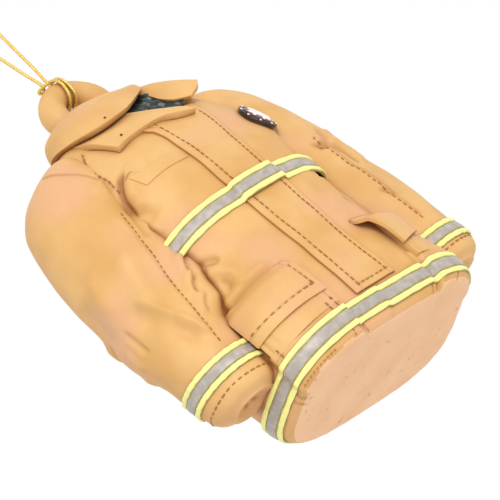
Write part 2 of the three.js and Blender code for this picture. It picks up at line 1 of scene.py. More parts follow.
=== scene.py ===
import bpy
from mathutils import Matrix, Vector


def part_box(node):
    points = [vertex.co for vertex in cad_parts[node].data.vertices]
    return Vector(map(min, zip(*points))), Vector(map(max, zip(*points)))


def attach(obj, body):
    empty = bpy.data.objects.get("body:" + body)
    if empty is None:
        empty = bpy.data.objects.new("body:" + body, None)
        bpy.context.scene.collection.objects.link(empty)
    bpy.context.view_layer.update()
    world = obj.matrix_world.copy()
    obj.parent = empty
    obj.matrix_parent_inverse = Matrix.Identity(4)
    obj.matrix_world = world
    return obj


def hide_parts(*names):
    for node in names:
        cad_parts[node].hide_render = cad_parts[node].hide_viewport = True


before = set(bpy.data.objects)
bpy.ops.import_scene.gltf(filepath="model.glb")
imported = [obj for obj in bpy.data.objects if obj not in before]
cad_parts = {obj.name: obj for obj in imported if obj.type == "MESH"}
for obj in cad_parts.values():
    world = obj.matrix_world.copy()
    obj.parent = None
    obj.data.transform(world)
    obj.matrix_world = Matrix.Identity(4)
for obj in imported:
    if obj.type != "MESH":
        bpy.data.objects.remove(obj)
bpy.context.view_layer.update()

"""A hanging ornament in the form of a firefighter's turnout coat.

The coat is one painted resin casting, with its folds, pockets, reflective bands and
stitches modelled in relief. It hangs by a gold cord that is hitched to the ring cast
behind its collar. Shapes are worked out in the coat's own millimetres: x towards the
wearer's left, y towards the back and z up from the flat underside.
"""

import logging
import math
from dataclasses import dataclass, field
from enum import Enum
from typing import Callable, Sequence

import bpy
import numpy as np
from mathutils import Vector

LOG = logging.getLogger("turnout_coat")
MM = 0.001
COAT = "coat"

# The ring behind the collar: its plane, its middle's height, and its two radii.
RING_Y, RING_Z, RING_RADIUS, RING_BAR = -1.2, 81.9, 5.8, 2.8

Array = np.ndarray
PlaceRule = Callable[[Array, Array], tuple[Array, dict[str, Array]]]


class Side(Enum):
    """A side of the coat, as its wearer names it."""

    RIGHT = -1
    LEFT = 1

    @property
    def word(self) -> str:
        """The side's name in lower case."""
        return self.name.lower()


class Mark(Enum):
    """How a line of relief is shaped across.

    A fold is a ridge with a crease beside it, and a step lifts one side only.
    """

    GROOVE = "groove"
    RIDGE = "ridge"
    FOLD = "fold"
    STEP = "step"


# ---------- places ----------


def coat_origin() -> Array:
    """The frame's place of the coat's own origin, in millimetres.

    Returns:
        The shift from the coat's millimetres to the frame's.
    """
    ring_low, ring_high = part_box("hanging_ring")
    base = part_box("torso")[0].z
    return np.array([0.0, (ring_low.y + ring_high.y) / 2 / MM - RING_Y, base / MM])


ORIGIN = coat_origin()


def metres(points: Array) -> Array:
    """Turns coat millimetres into the frame's metres."""
    return (np.asarray(points, float) + ORIGIN) * MM


def smooth(value: Array, low: float, high: float) -> Array:
    """A soft step from 0 at low to 1 at high."""
    t = np.clip((np.asarray(value, float) - low) / (high - low), 0.0, 1.0)
    return t * t * (3 - 2 * t)


def unit(vectors: Array) -> Array:
    """The vectors at length one."""
    return vectors / np.maximum(np.linalg.norm(vectors, axis=-1, keepdims=True), 1e-12)


def through_four(a: Array, b: Array, c: Array, d: Array, f: Array) -> Array:
    """Places from b to c, at a share f, on the smooth curve that a and d also guide."""
    bend = 2 * a - 5 * b + 4 * c - d
    twist = 3 * b - a - 3 * c + d
    return 0.5 * (2 * b + (c - a) * f + bend * f**2 + twist * f**3)


def curve_through(points: Sequence[Sequence[float]], t: Array) -> Array:
    """Points along a smooth curve through a few chosen ones.

    Args:
        points: The points that the curve passes, evenly spaced in t.
        t: Where to read the curve, from 0 to 1.

    Returns:
        One point for each value of t.
    """
    p = np.asarray(points, float)
    p = np.vstack([2 * p[0] - p[1], p, 2 * p[-1] - p[-2]])
    at = np.clip(t, 0, 1) * (len(p) - 3)
    i = np.minimum(at.astype(int), len(p) - 4)
    f = (at - i)[:, None]
    return through_four(p[i], p[i + 1], p[i + 2], p[i + 3], f)


def between_stations(heights: Array, values: Array, z: Array) -> Array:
    """Values at any height, drawn smoothly through those at a few stations.

    Args:
        heights: The stations' heights, rising.
        values: One row of sizes for each station.
        z: Where to read them.

    Returns:
        One row of sizes for each value of z.
    """
    z = np.clip(z, heights[0], heights[-1])
    slope = np.diff(values, axis=0) / np.diff(heights)[:, None]
    tangent = np.zeros_like(values)
    tangent[1:-1] = (slope[1:] + slope[:-1]) / 2
    i = np.clip(np.searchsorted(heights, z, side="right") - 1, 0, len(heights) - 2)
    h = (heights[i + 1] - heights[i])[:, None]
    p = ((z - heights[i]) / (heights[i + 1] - heights[i]))[:, None]
    return (
        (2 * p**3 - 3 * p**2 + 1) * values[i]
        + (p**3 - 2 * p**2 + p) * h * tangent[i]
        + (3 * p**2 - 2 * p**3) * values[i + 1]
        + (p**3 - p**2) * h * tangent[i + 1]
    )


def evenly(points: Array, spacing: float) -> Array:
    """The points of a line moved to an even spacing along it.

    Args:
        points: The line's points.
        spacing: The distance wanted between two of them.

    Returns:
        The new points, ends included.
    """
    steps = np.linalg.norm(np.diff(points, axis=0), axis=1)
    run = np.concatenate([[0.0], np.cumsum(steps)])
    count = max(2, int(round(run[-1] / spacing)) + 1)
    at = np.linspace(0, run[-1], count)
    return np.stack([np.interp(at, run, points[:, k]) for k in range(points.shape[1])], axis=1)


# ---------- relief ----------


@dataclass(frozen=True)
class Stroke:
    """One line of relief on a surface.

    Attributes:
        points: The line, in distance round the surface and height, in millimetres.
        mark: Its shape across.
        width: How far it reaches to each side.
        height: How far it lifts or, below zero, sinks the surface.
        wash: How much dark colour lies in it: brown wash and painted shade in its crease.
        fade: Length over which both ends run out.
    """

    points: tuple[tuple[float, float], ...]
    mark: Mark
    width: float
    height: float
    wash: float = 0.0
    fade: float = 1.5

    def drawn(self, across: Array, up: Array) -> tuple[Array, Array]:
        """The line's lift and wash at places on the surface.

        Args:
            across: Distance round the surface.
            up: Height.

        Returns:
            The lift in millimetres and the wash from 0 to 1.
        """
        knots = np.asarray(self.points, float)
        line = evenly(curve_through(knots, np.linspace(0, 1, 8 * len(knots))), 1.2)
        reach = 3.2 * self.width + self.fade
        low, high = line.min(0) - reach, line.max(0) + reach
        near = (across > low[0]) & (across < high[0]) & (up > low[1]) & (up < high[1])
        lift, wash = np.zeros_like(across), np.zeros_like(across)
        if not near.any():
            return lift, wash
        spot = np.stack([across[near], up[near]], axis=1)
        best = np.full(len(spot), 1e9)
        side, run = np.zeros(len(spot)), np.zeros(len(spot))
        walked = 0.0
        for start, end in zip(line[:-1], line[1:]):
            along = end - start
            length = float(np.linalg.norm(along))
            t = np.clip((spot - start) @ along / length**2, 0, 1)
            gap = spot - start - t[:, None] * along
            distance = np.linalg.norm(gap, axis=1)
            closer = distance < best
            best = np.where(closer, distance, best)
            cross = along[0] * gap[:, 1] - along[1] * gap[:, 0]
            side = np.where(closer, np.sign(cross), side)
            run = np.where(closer, walked + t * length, run)
            walked += length
        ends = smooth(run, 0, self.fade) * smooth(walked - run, 0, self.fade)
        signed = best * side / self.width
        bell = np.exp(-(signed**2))
        if self.mark is Mark.FOLD:
            shape = np.exp(-((signed - 1.1) ** 2)) - 0.75 * np.exp(-((2.2 * signed + 0.3) ** 2))
            wash_and_shade = np.exp(-((2.4 * signed + 0.4) ** 2))
        elif self.mark is Mark.STEP:
            shape = 1 / (1 + np.exp(-5.0 * signed)) * np.exp(-np.maximum(signed, 0) * 0.55)
            wash_and_shade = np.exp(-((2.6 * signed + 0.5) ** 2))
        else:
            shape, wash_and_shade = bell, bell
        lift[near] = self.height * shape * ends
        wash[near] = self.wash * wash_and_shade * ends
        return lift, wash


def relief_of(strokes: Sequence[Stroke], across: Array, up: Array) -> tuple[Array, Array]:
    """The lift and wash of several strokes together."""
    lift, wash = np.zeros_like(across), np.zeros_like(across)
    for stroke in strokes:
        more, wash_and_shade = stroke.drawn(across, up)
        lift += more
        wash = np.maximum(wash, wash_and_shade)
    return lift, wash


def rolling(across: Array, up: Array, seed: float, scale: float) -> Array:
    """Slow hand-modelled unevenness of a casting, from -1 to 1."""
    a, b = across / scale, up / scale
    waves = np.sin(a * 1.9 + seed + 1.3 * np.sin(b * 1.1 + seed)) * np.cos(b * 1.7 - seed)
    return 0.6 * waves + 0.4 * np.sin(a * 3.1 - b * 2.3 + 2.1 * seed)


# ---------- the coat's body ----------


@dataclass
class BodySurface:
    """The coat's body as a smooth surface, read by distance round it and height.

    Attributes:
        height: From the underside to the neck.
        half_width: Half the width at the hem.
        row_step: Between two levels at which the way round is measured.
    """

    height: float = 75.0
    half_width: float = 26.0
    row_step: float = 0.5
    heights: Array = field(init=False)
    table: Array = field(init=False)
    rows: Array = field(init=False)
    angles: Array = field(init=False)
    lengths: Array = field(init=False)

    def __post_init__(self) -> None:
        """Measures each level section once, so that a place can be looked up."""
        w, top = self.half_width, self.height
        # Height, half width, depth in front, depth behind, squareness.
        stations = np.array([
            (0.0, w - 1.0, 14.5, 13.2, 3.1),
            (5.0, w, 15.6, 14.0, 3.0),
            (20.0, w - 0.1, 16.6, 14.3, 2.7),
            (38.6, w - 1.5, 17.6, 14.0, 2.5),
            (top - 23.0, w - 2.6, 16.6, 12.9, 2.8),
            (top - 13.0, w - 4.2, 14.4, 11.0, 2.6),
            (top - 6.0, w - 6.0, 11.6, 9.0, 2.2),
            (top - 2.5, w - 9.6, 10.0, 7.6, 2.1),
            (top, w - 15.6, 8.8, 6.6, 2.0),
        ])
        self.heights, self.table = stations[:, 0], stations[:, 1:]
        self.rows = np.arange(0.0, top + self.row_step / 2, self.row_step)
        self.angles = np.linspace(0, math.pi, 241)
        grid_angle, grid_z = np.meshgrid(self.angles, self.rows)
        ring = self.untucked(grid_angle.ravel(), grid_z.ravel()).reshape(len(self.rows), -1, 3)
        steps = np.linalg.norm(np.diff(ring, axis=1), axis=2)
        self.lengths = np.hstack([np.zeros((len(self.rows), 1)), np.cumsum(steps, axis=1)])

    def section(self, z: Array) -> Array:
        """Half width, front depth, back depth and squareness of the section at a height."""
        return between_stations(self.heights, self.table, z)

    def by_angle(self, angle: Array, z: Array) -> Array:
        """Points at an angle from the front centre, with the left side tucked in behind the arm."""
        spot = self.untucked(angle, z)
        tuck = np.interp(z, [0.0, 8.0, 18.0, 26.0, 36.0, 44.0, 52.0],
                         [0.10, 0.18, 0.32, 0.38, 0.30, 0.12, 0.0])
        past = np.maximum(spot[:, 0] - 8.0, 0.0)
        spot[:, 0] -= tuck * past**2 / (past + 4.0)
        return spot

    def untucked(self, angle: Array, z: Array) -> Array:
        """Points at an angle from the front centre, towards the wearer's left, on the even section."""
        w, front, back, n = self.section(z).T
        s, c = np.sin(angle), np.cos(angle)
        depth = np.where(c > 0, front, back)
        x = w * np.sign(s) * np.abs(s) ** (2 / n)
        y = -depth * np.sign(c) * np.abs(c) ** (2 / n)
        return np.stack([x, y, z], axis=1)

    def round_at(self, angle: Array, z: Array) -> Array:
        """Distance round the body of an angle."""
        row = np.clip(z / self.row_step, 0, len(self.rows) - 1.001)
        i, f = row.astype(int), row - row.astype(int)
        last = len(self.angles) - 1
        column = np.clip(np.abs(angle) / math.pi * last, 0, last - 0.001)
        j, g = column.astype(int), column - column.astype(int)
        level = self.lengths
        low = level[i, j] * (1 - g) + level[i, j + 1] * g
        high = level[i + 1, j] * (1 - g) + level[i + 1, j + 1] * g
        return np.sign(angle) * (low * (1 - f) + high * f)

    def half_round(self, z: Array) -> Array:
        """Half of the way round the body at a height."""
        return np.interp(z, self.rows, self.lengths[:, -1])

    def angle_at(self, distance: Array, z: Array) -> Array:
        """The angle of a distance round the body."""
        distance, z = np.broadcast_arrays(np.asarray(distance, float), np.asarray(z, float))
        row = np.clip(z / self.row_step, 0, len(self.rows) - 1.001)
        result = np.zeros(distance.shape)
        base = row.astype(int)
        for i in np.unique(base):
            pick = base == i
            f = (row - base)[pick]
            reach = np.abs(distance[pick])
            low = np.interp(reach, self.lengths[i], self.angles)
            high = np.interp(reach, self.lengths[i + 1], self.angles)
            result[pick] = (low * (1 - f) + high * f) * np.sign(distance[pick])
        return result

    def point(self, distance: Array, z: Array, lift: Array | float = 0.0) -> Array:
        """Points by distance round the body and height, lifted along the surface's normal."""
        distance, z = np.broadcast_arrays(np.asarray(distance, float), np.asarray(z, float))
        spot = self.by_angle(self.angle_at(distance, z), z)
        return spot + self.normal(distance, z) * np.broadcast_to(lift, z.shape)[:, None]

    def normal(self, distance: Array, z: Array) -> Array:
        """Directions straight out of the surface."""
        small = 0.25
        z = np.clip(z, small, self.height - small)
        right = self.by_angle(self.angle_at(distance + small, z), z)
        left = self.by_angle(self.angle_at(distance - small, z), z)
        above = self.by_angle(self.angle_at(distance, z + small), z + small)
        below = self.by_angle(self.angle_at(distance, z - small), z - small)
        return unit(np.cross(right - left, above - below))


BODY = BodySurface()

# A pocket's two edges, as distances round the body, and how far it stands out.
POCKET_INNER, POCKET_OUTER, POCKET_DEPTH = 11.4, 27.4, 1.4

# Seams and folds of the body, in distance round it and height.
# Their wash is partly brown wash, partly painted shade in the creases; the darkest lines, under the right
# armpit's fold and where each sleeve meets the body, are painted shadow.
BODY_STROKES = (
    Stroke(((-17.0, 56.6), (-19.8, 54.9), (-22.4, 51.6), (-23.8, 47.0)), Mark.FOLD, 1.7, 1.5, 0.8, 2.5),
    Stroke(((-15.6, 57.4), (-17.4, 56.2), (-19.0, 55.8)), Mark.RIDGE, 0.6, 0.35, 0.0, 1.0),
    Stroke(((-16.6, 55.4), (-18.2, 54.4), (-19.6, 53.9)), Mark.GROOVE, 0.35, -0.25, 0.7, 0.8),
    Stroke(((-20.4, 51.0), (-21.8, 47.6), (-21.2, 43.8)), Mark.GROOVE, 1.8, -0.8, 0.1, 2.0),
    Stroke(((-23.6, 45.6), (-22.6, 42.4), (-20.8, 40.8)), Mark.RIDGE, 1.0, 0.5, 0.0, 1.5),
    Stroke(((-25.4, 31.6), (-22.6, 30.4), (-20.6, 28.4)), Mark.FOLD, 0.8, -0.8, 0.55, 1.2),
    Stroke(((-24.6, 29.4), (-21.6, 27.4), (-20.4, 24.8), (-22.0, 22.4)), Mark.RIDGE, 1.3, 1.0, 0.0, 1.5),
    Stroke(((-23.4, 26.4), (-22.4, 24.8), (-23.6, 23.4)), Mark.GROOVE, 0.6, -0.3, 0.3, 0.8),
    Stroke(((-24.4, 48.0), (-24.2, 40.0), (-23.6, 33.0), (-25.4, 26.0), (-27.6, 18.0)),
           Mark.GROOVE, 1.0, -0.5, 0.9, 3.0),
    Stroke(((-28.0, 22.3), (-23.0, 22.1), (-18.0, 22.4), (-13.6, 22.0)), Mark.RIDGE, 1.3, 1.3, 0.0, 3.0),
    Stroke(((-19.9, 62.6), (-20.6, 56.8), (-21.4, 54.4)), Mark.RIDGE, 0.9, 0.25, 0.0, 1.0),
    Stroke(((8.4, 60.1), (6.2, 53.0), (5.2, 48.4)), Mark.GROOVE, 0.35, -0.16, 0.3, 1.0),
    Stroke(((21.0, 52.0), (19.8, 44.0), (18.6, 36.0), (18.0, 28.0), (19.0, 18.0), (21.0, 8.0)),
           Mark.GROOVE, 3.6, -0.9, 0.0, 5.0),
    Stroke(((19.0, 35.0), (18.4, 30.0), (18.6, 25.0), (19.6, 15.0)), Mark.GROOVE, 2.0, -1.0, 0.95, 2.0),
    Stroke(((13.0, 33.4), (14.2, 30.0), (13.2, 26.0)), Mark.FOLD, 1.2, -0.8, 0.3, 1.5),
    Stroke(((-60.0, 60.4), (-45.0, 60.8), (-38.0, 61.6)), Mark.GROOVE, 0.4, -0.2, 0.5, 2.0),
    Stroke(((38.0, 61.6), (45.0, 60.8), (60.0, 60.4)), Mark.GROOVE, 0.4, -0.2, 0.5, 2.0),
)

# Cuts in the strip below the hem band: distance round the body.
HEM_CUTS = (-31.2, -29.6, -12.0, -10.4, -2.7, 9.6, 10.9, 17.5)

# The open throat's outline from the front: x and height.
THROAT = ((-4.2, 70.0), (-2.4, 66.6), (-0.2, 63.3), (3.2, 62.2), (6.6, 64.4), (6.9, 68.0), (5.4, 74.0),
          (-1.0, 73.0))


def within(outline: Sequence[tuple[float, float]], x: Array, z: Array) -> Array:
    """Signed distance to an outline seen from the front, positive inside it."""
    corners = np.asarray(outline, float)
    inside = np.zeros(len(x), bool)
    nearest = np.full(len(x), 1e9)
    for (x0, z0), (x1, z1) in zip(corners, np.roll(corners, -1, axis=0)):
        along = np.array([x1 - x0, z1 - z0])
        t = np.clip(((x - x0) * along[0] + (z - z0) * along[1]) / (along @ along), 0, 1)
        nearest = np.minimum(nearest, np.hypot(x - x0 - t * along[0], z - z0 - t * along[1]))
        crosses = (z0 > z) != (z1 > z)
        with np.errstate(divide="ignore", invalid="ignore"):
            inside ^= crosses & (x < (x1 - x0) * (z - z0) / (z1 - z0) + x0)
    return np.where(inside, nearest, -nearest)


def body_relief(distance: Array, z: Array) -> tuple[Array, Array]:
    """Folds, seams and unevenness of the body, and the wash in them."""
    lift, wash = relief_of(BODY_STROKES, distance, z)
    to_back = BODY.half_round(z) - np.abs(distance)
    quiet = smooth(z, 1.0, 6.0)
    uneven = 0.26 * quiet * rolling(distance, z, 0.7, 9.0) + 0.08 * rolling(distance, z, 2.3, 3.2)
    lift = lift + smooth(to_back, 0.0, 6.0) * uneven
    low = 1 - smooth(z, 8.5, 10.0)
    lift = lift + low * pocket_step(distance)
    for cut in HEM_CUTS:
        off_line = distance - cut - 0.15 * np.sin(2.0 * z + cut)
        line = np.exp(-((off_line / 0.26) ** 2)) * (1 - smooth(z, 1.8, 2.4))
        lift = lift - 0.22 * line
        wash = np.maximum(wash, 0.75 * line * smooth(z, -0.2, 0.5))
    return lift, wash


def pocket_step(distance: Array) -> Array:
    """How far the pockets hold out the coat's hem."""
    reach = np.abs(distance)
    return POCKET_DEPTH * smooth(reach, POCKET_INNER - 0.2, POCKET_INNER + 0.7) * (
        1 - smooth(reach, POCKET_OUTER, POCKET_OUTER + 1.6))


def on_body(distance: Array, z: Array, lift: Array | float = 0.0) -> Array:
    """Points on the body with its relief, lifted by a given amount."""
    rise, _ = body_relief(np.asarray(distance, float), np.asarray(z, float))
    return BODY.point(distance, z, rise + lift)


# ---------- making meshes ----------


def choose_only(obj: bpy.types.Object | None) -> None:
    """Selects one object, or none."""
    for other in list(bpy.context.selected_objects):
        other.select_set(False)
    bpy.context.view_layer.objects.active = obj
    if obj is not None:
        obj.select_set(True)


def in_edit_mode(obj: bpy.types.Object, work: Callable[[], None]) -> None:
    """Runs an edit on all of an object's mesh."""
    choose_only(obj)
    bpy.ops.object.mode_set(mode="EDIT")
    bpy.ops.mesh.select_all(action="SELECT")
    work()
    bpy.ops.object.mode_set(mode="OBJECT")


def apply_modifier(obj: bpy.types.Object, kind: str, **settings: object) -> None:
    """Adds a modifier with its settings and applies it."""
    modifier = obj.modifiers.new(kind.title(), kind)
    for key, value in settings.items():
        setattr(modifier, key, value)
    choose_only(obj)
    bpy.ops.object.modifier_apply(modifier=modifier.name)


def store(obj: bpy.types.Object, name: str, values: Array) -> None:
    """Keeps one number for each vertex under a name that materials read."""
    attribute = obj.data.attributes.new(name, "FLOAT", "POINT")
    attribute.data.foreach_set("value", values.astype(np.float32))


def sheet(name: str, columns: int, rows: int, place: PlaceRule) -> bpy.types.Object:
    """Lays a flat grid over a form and sews its edges where they meet.

    Args:
        name: The piece's name.
        columns: Faces across.
        rows: Faces up.
        place: Gives each vertex its place in coat millimetres and its stored values.

    Returns:
        The new piece, with its place in its mesh.
    """
    choose_only(None)
    bpy.ops.mesh.primitive_grid_add(x_subdivisions=columns, y_subdivisions=rows, size=1.0)
    obj = bpy.context.object
    obj.name = obj.data.name = name
    count = len(obj.data.vertices)
    flat = np.empty(count * 3, np.float32)
    obj.data.vertices.foreach_get("co", flat)
    flat = flat.reshape(-1, 3).astype(float)
    u, v = flat[:, 0] + 0.5, flat[:, 1] + 0.5
    spots, stored = place(np.clip(u, 0, 1), np.clip(v, 0, 1))
    obj.data.vertices.foreach_set("co", metres(spots).astype(np.float32).ravel())
    for key, values in stored.items():
        store(obj, key, values)

    def sew() -> None:
        bpy.ops.mesh.remove_doubles(threshold=1.2e-5)
        bpy.ops.mesh.dissolve_degenerate(threshold=1e-7)
        bpy.ops.mesh.normals_make_consistent(inside=False)

    in_edit_mode(obj, sew)
    return obj


def panel(name: str, columns: int, rows: int, place: PlaceRule, thickness: float,
          rounding: float) -> bpy.types.Object:
    """A piece of even thickness over a form, with rounded edges.

    Args:
        name: The piece's name.
        columns: Faces across.
        rows: Faces up.
        place: The outer face, as sheet takes it.
        thickness: In millimetres, measured inwards.
        rounding: Radius of the edges in millimetres.

    Returns:
        The new piece.
    """
    obj = sheet(name, columns, rows, place)
    apply_modifier(obj, "SOLIDIFY", thickness=thickness * MM, offset=-1.0, use_even_offset=False)
    in_edit_mode(obj, lambda: bpy.ops.mesh.normals_make_consistent(inside=False))
    apply_modifier(obj, "BEVEL", width=rounding * MM, segments=3, limit_method="ANGLE",
                   angle_limit=math.radians(50))
    return obj


def smooth_shaded(obj: bpy.types.Object, angle: float = 45.0) -> None:
    """Shades a piece smooth, with edges sharper than the angle kept."""
    choose_only(obj)
    bpy.ops.object.shade_smooth_by_angle(angle=math.radians(angle))


def finish_piece(obj: bpy.types.Object, material: bpy.types.Material, slot: str, *stands_for: str,
                 body: str = COAT, angle: float = 45.0) -> bpy.types.Object:
    """Dresses a piece, sets it on its body and hides the CAD nodes that it stands for.

    Args:
        obj: The finished mesh.
        material: Its finish.
        slot: The record's slot for that finish; not used.
        stands_for: CAD nodes that it replaces.
        body: The CAD body that it moves with.
        angle: Edges sharper than this stay crisp.

    Returns:
        The same piece.
    """
    if not obj.data.materials:
        obj.data.materials.append(material)
    smooth_shaded(obj, angle)
    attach(obj, body)
    if stands_for:
        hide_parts(*stands_for)
    LOG.info("%s: %d faces", obj.name, len(obj.data.polygons))
    return obj


def joined(pieces: Sequence[bpy.types.Object], name: str) -> bpy.types.Object:
    """Joins pieces into one object under a name."""
    choose_only(pieces[0])
    for piece in pieces:
        piece.select_set(True)
    bpy.ops.object.join()
    obj = bpy.context.object
    obj.name = obj.data.name = name
    return obj


# ---------- finishes ----------


def srgb(code: str) -> tuple[float, float, float, float]:
    """Turns a hex colour into the linear one that Blender wants."""
    parts = [int(code[i : i + 2], 16) / 255 for i in (1, 3, 5)]
    linear = [c / 12.92 if c <= 0.04045 else ((c + 0.055) / 1.055) ** 2.4 for c in parts]
    return (*linear, 1.0)


def add_node(tree: bpy.types.NodeTree, kind: str, settings: dict[str, object] | None = None,
             inputs: dict[str | int, object] | None = None) -> bpy.types.Node:
    """Adds a node with its settings and links.

    Args:
        tree: The material's node tree.
        kind: The node's type name.
        settings: Properties of the node.
        inputs: Values or output sockets, by input name or number.

    Returns:
        The new node.
    """
    node = tree.nodes.new(kind)
    for key, value in (settings or {}).items():
        setattr(node, key, value)
    for key, value in (inputs or {}).items():
        if isinstance(value, bpy.types.NodeSocket):
            tree.links.new(value, node.inputs[key])
        else:
            node.inputs[key].default_value = value
    return node


def mixed(tree: bpy.types.NodeTree, share: object, first: object, second: object) -> bpy.types.NodeSocket:
    """A colour between two colours, by a share from 0 to 1."""
    node = add_node(tree, "ShaderNodeMix", {"data_type": "RGBA"}, {0: share, 6: first, 7: second})
    return node.outputs[2]


def ranged(tree: bpy.types.NodeTree, value: object, low: float, high: float, to_low: float,
           to_high: float) -> bpy.types.NodeSocket:
    """A value moved from one range to another and held within it."""
    node = add_node(tree, "ShaderNodeMapRange", {}, {0: value, 1: low, 2: high, 3: to_low, 4: to_high})
    return node.outputs[0]


def new_material(name: str) -> tuple[bpy.types.Material, bpy.types.NodeTree, bpy.types.Node]:
    """An empty material with its shader."""
    material = bpy.data.materials.new(name)
    material.use_nodes = True
    return material, material.node_tree, material.node_tree.nodes["Principled BSDF"]


def grain(tree: bpy.types.NodeTree, size_mm: float, detail: float = 3.0) -> bpy.types.NodeSocket:
    """Noise on the object's own coordinates, with spots about that many millimetres across."""
    coordinates = add_node(tree, "ShaderNodeTexCoord").outputs["Object"]
    noise = add_node(tree, "ShaderNodeTexNoise", {}, {
        "Vector": coordinates, "Scale": 1.0 / (size_mm * MM), "Detail": detail, "Roughness": 0.55,
    })
    return noise.outputs["Fac"]


def shade_in_hollows(tree: bpy.types.NodeTree, reach_mm: float, open_at: float, closed_at: float,
               most: float) -> bpy.types.NodeSocket:
    """How much painted shade darkens a hollow, by how closed in it is; on the resin it also stands for the
    brown wash.

    Args:
        tree: The material's node tree.
        reach_mm: How far apart a hollow's walls may be.
        open_at: Share of open sky at which there is no shade.
        closed_at: Share at which the shade is deepest.
        most: That most, from 0 to 1.

    Returns:
        The share of painted shade.
    """
    hollow = add_node(tree, "ShaderNodeAmbientOcclusion", {"samples": 6}, {"Distance": reach_mm * MM})
    return ranged(tree, hollow.outputs["AO"], closed_at, open_at, most, 0.0)


def drawn_wash_and_shade(tree: bpy.types.NodeTree, most: float) -> bpy.types.NodeSocket:
    """The wash stored with the mesh, partly brown wash and partly painted shade in creases, up to a greatest
    share.
    """
    drawn = add_node(tree, "ShaderNodeAttribute", {"attribute_name": "wash"}).outputs["Fac"]
    return ranged(tree, drawn, 0.05, 1.0, 0.0, most)


def bumped(tree: bpy.types.NodeTree, shader: bpy.types.Node, height: bpy.types.NodeSocket, strength: float,
           depth_mm: float) -> None:
    """Lets a pattern raise the surface's light by a depth in millimetres."""
    bump = add_node(tree, "ShaderNodeBump", {}, {
        "Strength": strength, "Distance": depth_mm * MM, "Height": height,
    })
    tree.links.new(bump.outputs["Normal"], shader.inputs["Normal"])


@dataclass(frozen=True)
class PaintedResin:
    """Cast polyresin with a brushed coat of satin acrylic, and a brown wash in its hollows that is partly
    painted shade.

    The paint is soft and slightly uneven, so broad patches drift in tint, and the wash, partly painted shade,
    darkens every crease and edge of a layer so that they read.
    """

    name: str = "satin acrylic on cast resin"
    light: str = "#d8ab6c"
    warm: str = "#ce9d5b"
    pink: str = "#d6a27a"
    wash: str = "#86481a"
    drift_mm: float = 11.0
    wash_reach_mm: float = 2.2

    def make(self) -> bpy.types.Material:
        """Builds the material."""
        material, tree, shader = new_material(self.name)
        slow = ranged(tree, grain(tree, self.drift_mm, 2.0), 0.38, 0.62, 0.0, 1.0)
        blush = ranged(tree, grain(tree, self.drift_mm * 1.7, 1.0), 0.52, 0.68, 0.0, 0.75)
        fine = ranged(tree, grain(tree, 1.2, 4.0), 0.3, 0.7, 0.0, 0.22)
        tan = mixed(tree, slow, srgb(self.light), srgb(self.warm))
        tan = mixed(tree, blush, tan, srgb(self.pink))
        tan = mixed(tree, fine, tan, srgb(self.warm))
        # Painted shade: the wash colour darkens the resin wherever it is closed in, in hollows and between
        # parts, and also stands for the brown wash.
        tan = mixed(tree, shade_in_hollows(tree, self.wash_reach_mm, 0.85, 0.22, 0.75), tan, srgb(self.wash))
        # The stored wash: brown wash and painted shade along creases and edges.
        tan = mixed(tree, drawn_wash_and_shade(tree, 0.85), tan, srgb(self.wash))
        tree.links.new(tan, shader.inputs["Base Color"])
        tree.links.new(ranged(tree, grain(tree, 2.5), 0.3, 0.7, 0.5, 0.64), shader.inputs["Roughness"])
        shader.inputs["IOR"].default_value = 1.47
        shader.inputs["Subsurface Weight"].default_value = 0.04
        shader.inputs["Subsurface Radius"].default_value = (0.002, 0.001, 0.0006)
        shader.inputs["Subsurface Scale"].default_value = 0.5
        bumped(tree, shader, grain(tree, 0.7, 5.0), 0.35, 0.05)
        return material


@dataclass(frozen=True)
class BareBase:
    """The casting's flat underside: one thin, pinker coat over sanded resin, with pin holes."""

    name: str = "thin acrylic on sanded resin"
    light: str = "#eabd92"
    warm: str = "#e4b387"
    pit: str = "#b88460"
    wash: str = "#a8642c"

    def make(self) -> bpy.types.Material:
        """Builds the material."""
        material, tree, shader = new_material(self.name)
        slow = ranged(tree, grain(tree, 9.0, 2.0), 0.35, 0.65, 0.0, 1.0)
        tan = mixed(tree, slow, srgb(self.light), srgb(self.warm))
        spots = ranged(tree, grain(tree, 1.6, 2.0), 0.66, 0.72, 0.0, 0.55)
        tan = mixed(tree, spots, tan, srgb(self.pit))
        tan = mixed(tree, drawn_wash_and_shade(tree, 0.7), tan, srgb(self.wash))
        tree.links.new(tan, shader.inputs["Base Color"])
        shader.inputs["Roughness"].default_value = 0.66
        bumped(tree, shader, grain(tree, 0.9, 4.0), 0.4, 0.06)
        return material


@dataclass(frozen=True)
class BrushedPaint:
    """A thick line of opaque acrylic laid on by brush, with streaks and thin spots.

    Attributes:
        name: What it is.
        light: Its colour where the paint is thick.
        thin: Its colour where what lies under it shows.
        roughness: Of the dried paint.
        metallic: How much metal pigment it holds.
        streak_mm: Size of the brush's streaks.
        hollow_shade: The colour of the painted shade in the hollows along its edges.
    """

    name: str
    light: str
    thin: str
    roughness: float = 0.5
    metallic: float = 0.0
    streak_mm: float = 1.1
    hollow_shade: str = "#7a6a2c"

    def make(self) -> bpy.types.Material:
        """Builds the material."""
        material, tree, shader = new_material(self.name)
        streaks = ranged(tree, grain(tree, self.streak_mm, 4.0), 0.42, 0.66, 0.0, 1.0)
        colour = mixed(tree, streaks, srgb(self.light), srgb(self.thin))
        # Painted shade along the paint's edges, where it meets what it lies on.
        colour = mixed(tree, shade_in_hollows(tree, 0.9, 0.7, 0.2, 0.6), colour, srgb(self.hollow_shade))
        tree.links.new(colour, shader.inputs["Base Color"])
        shader.inputs["Roughness"].default_value = self.roughness
        shader.inputs["Metallic"].default_value = self.metallic
        bumped(tree, shader, grain(tree, 0.5, 4.0), 0.4, 0.05)
        return material


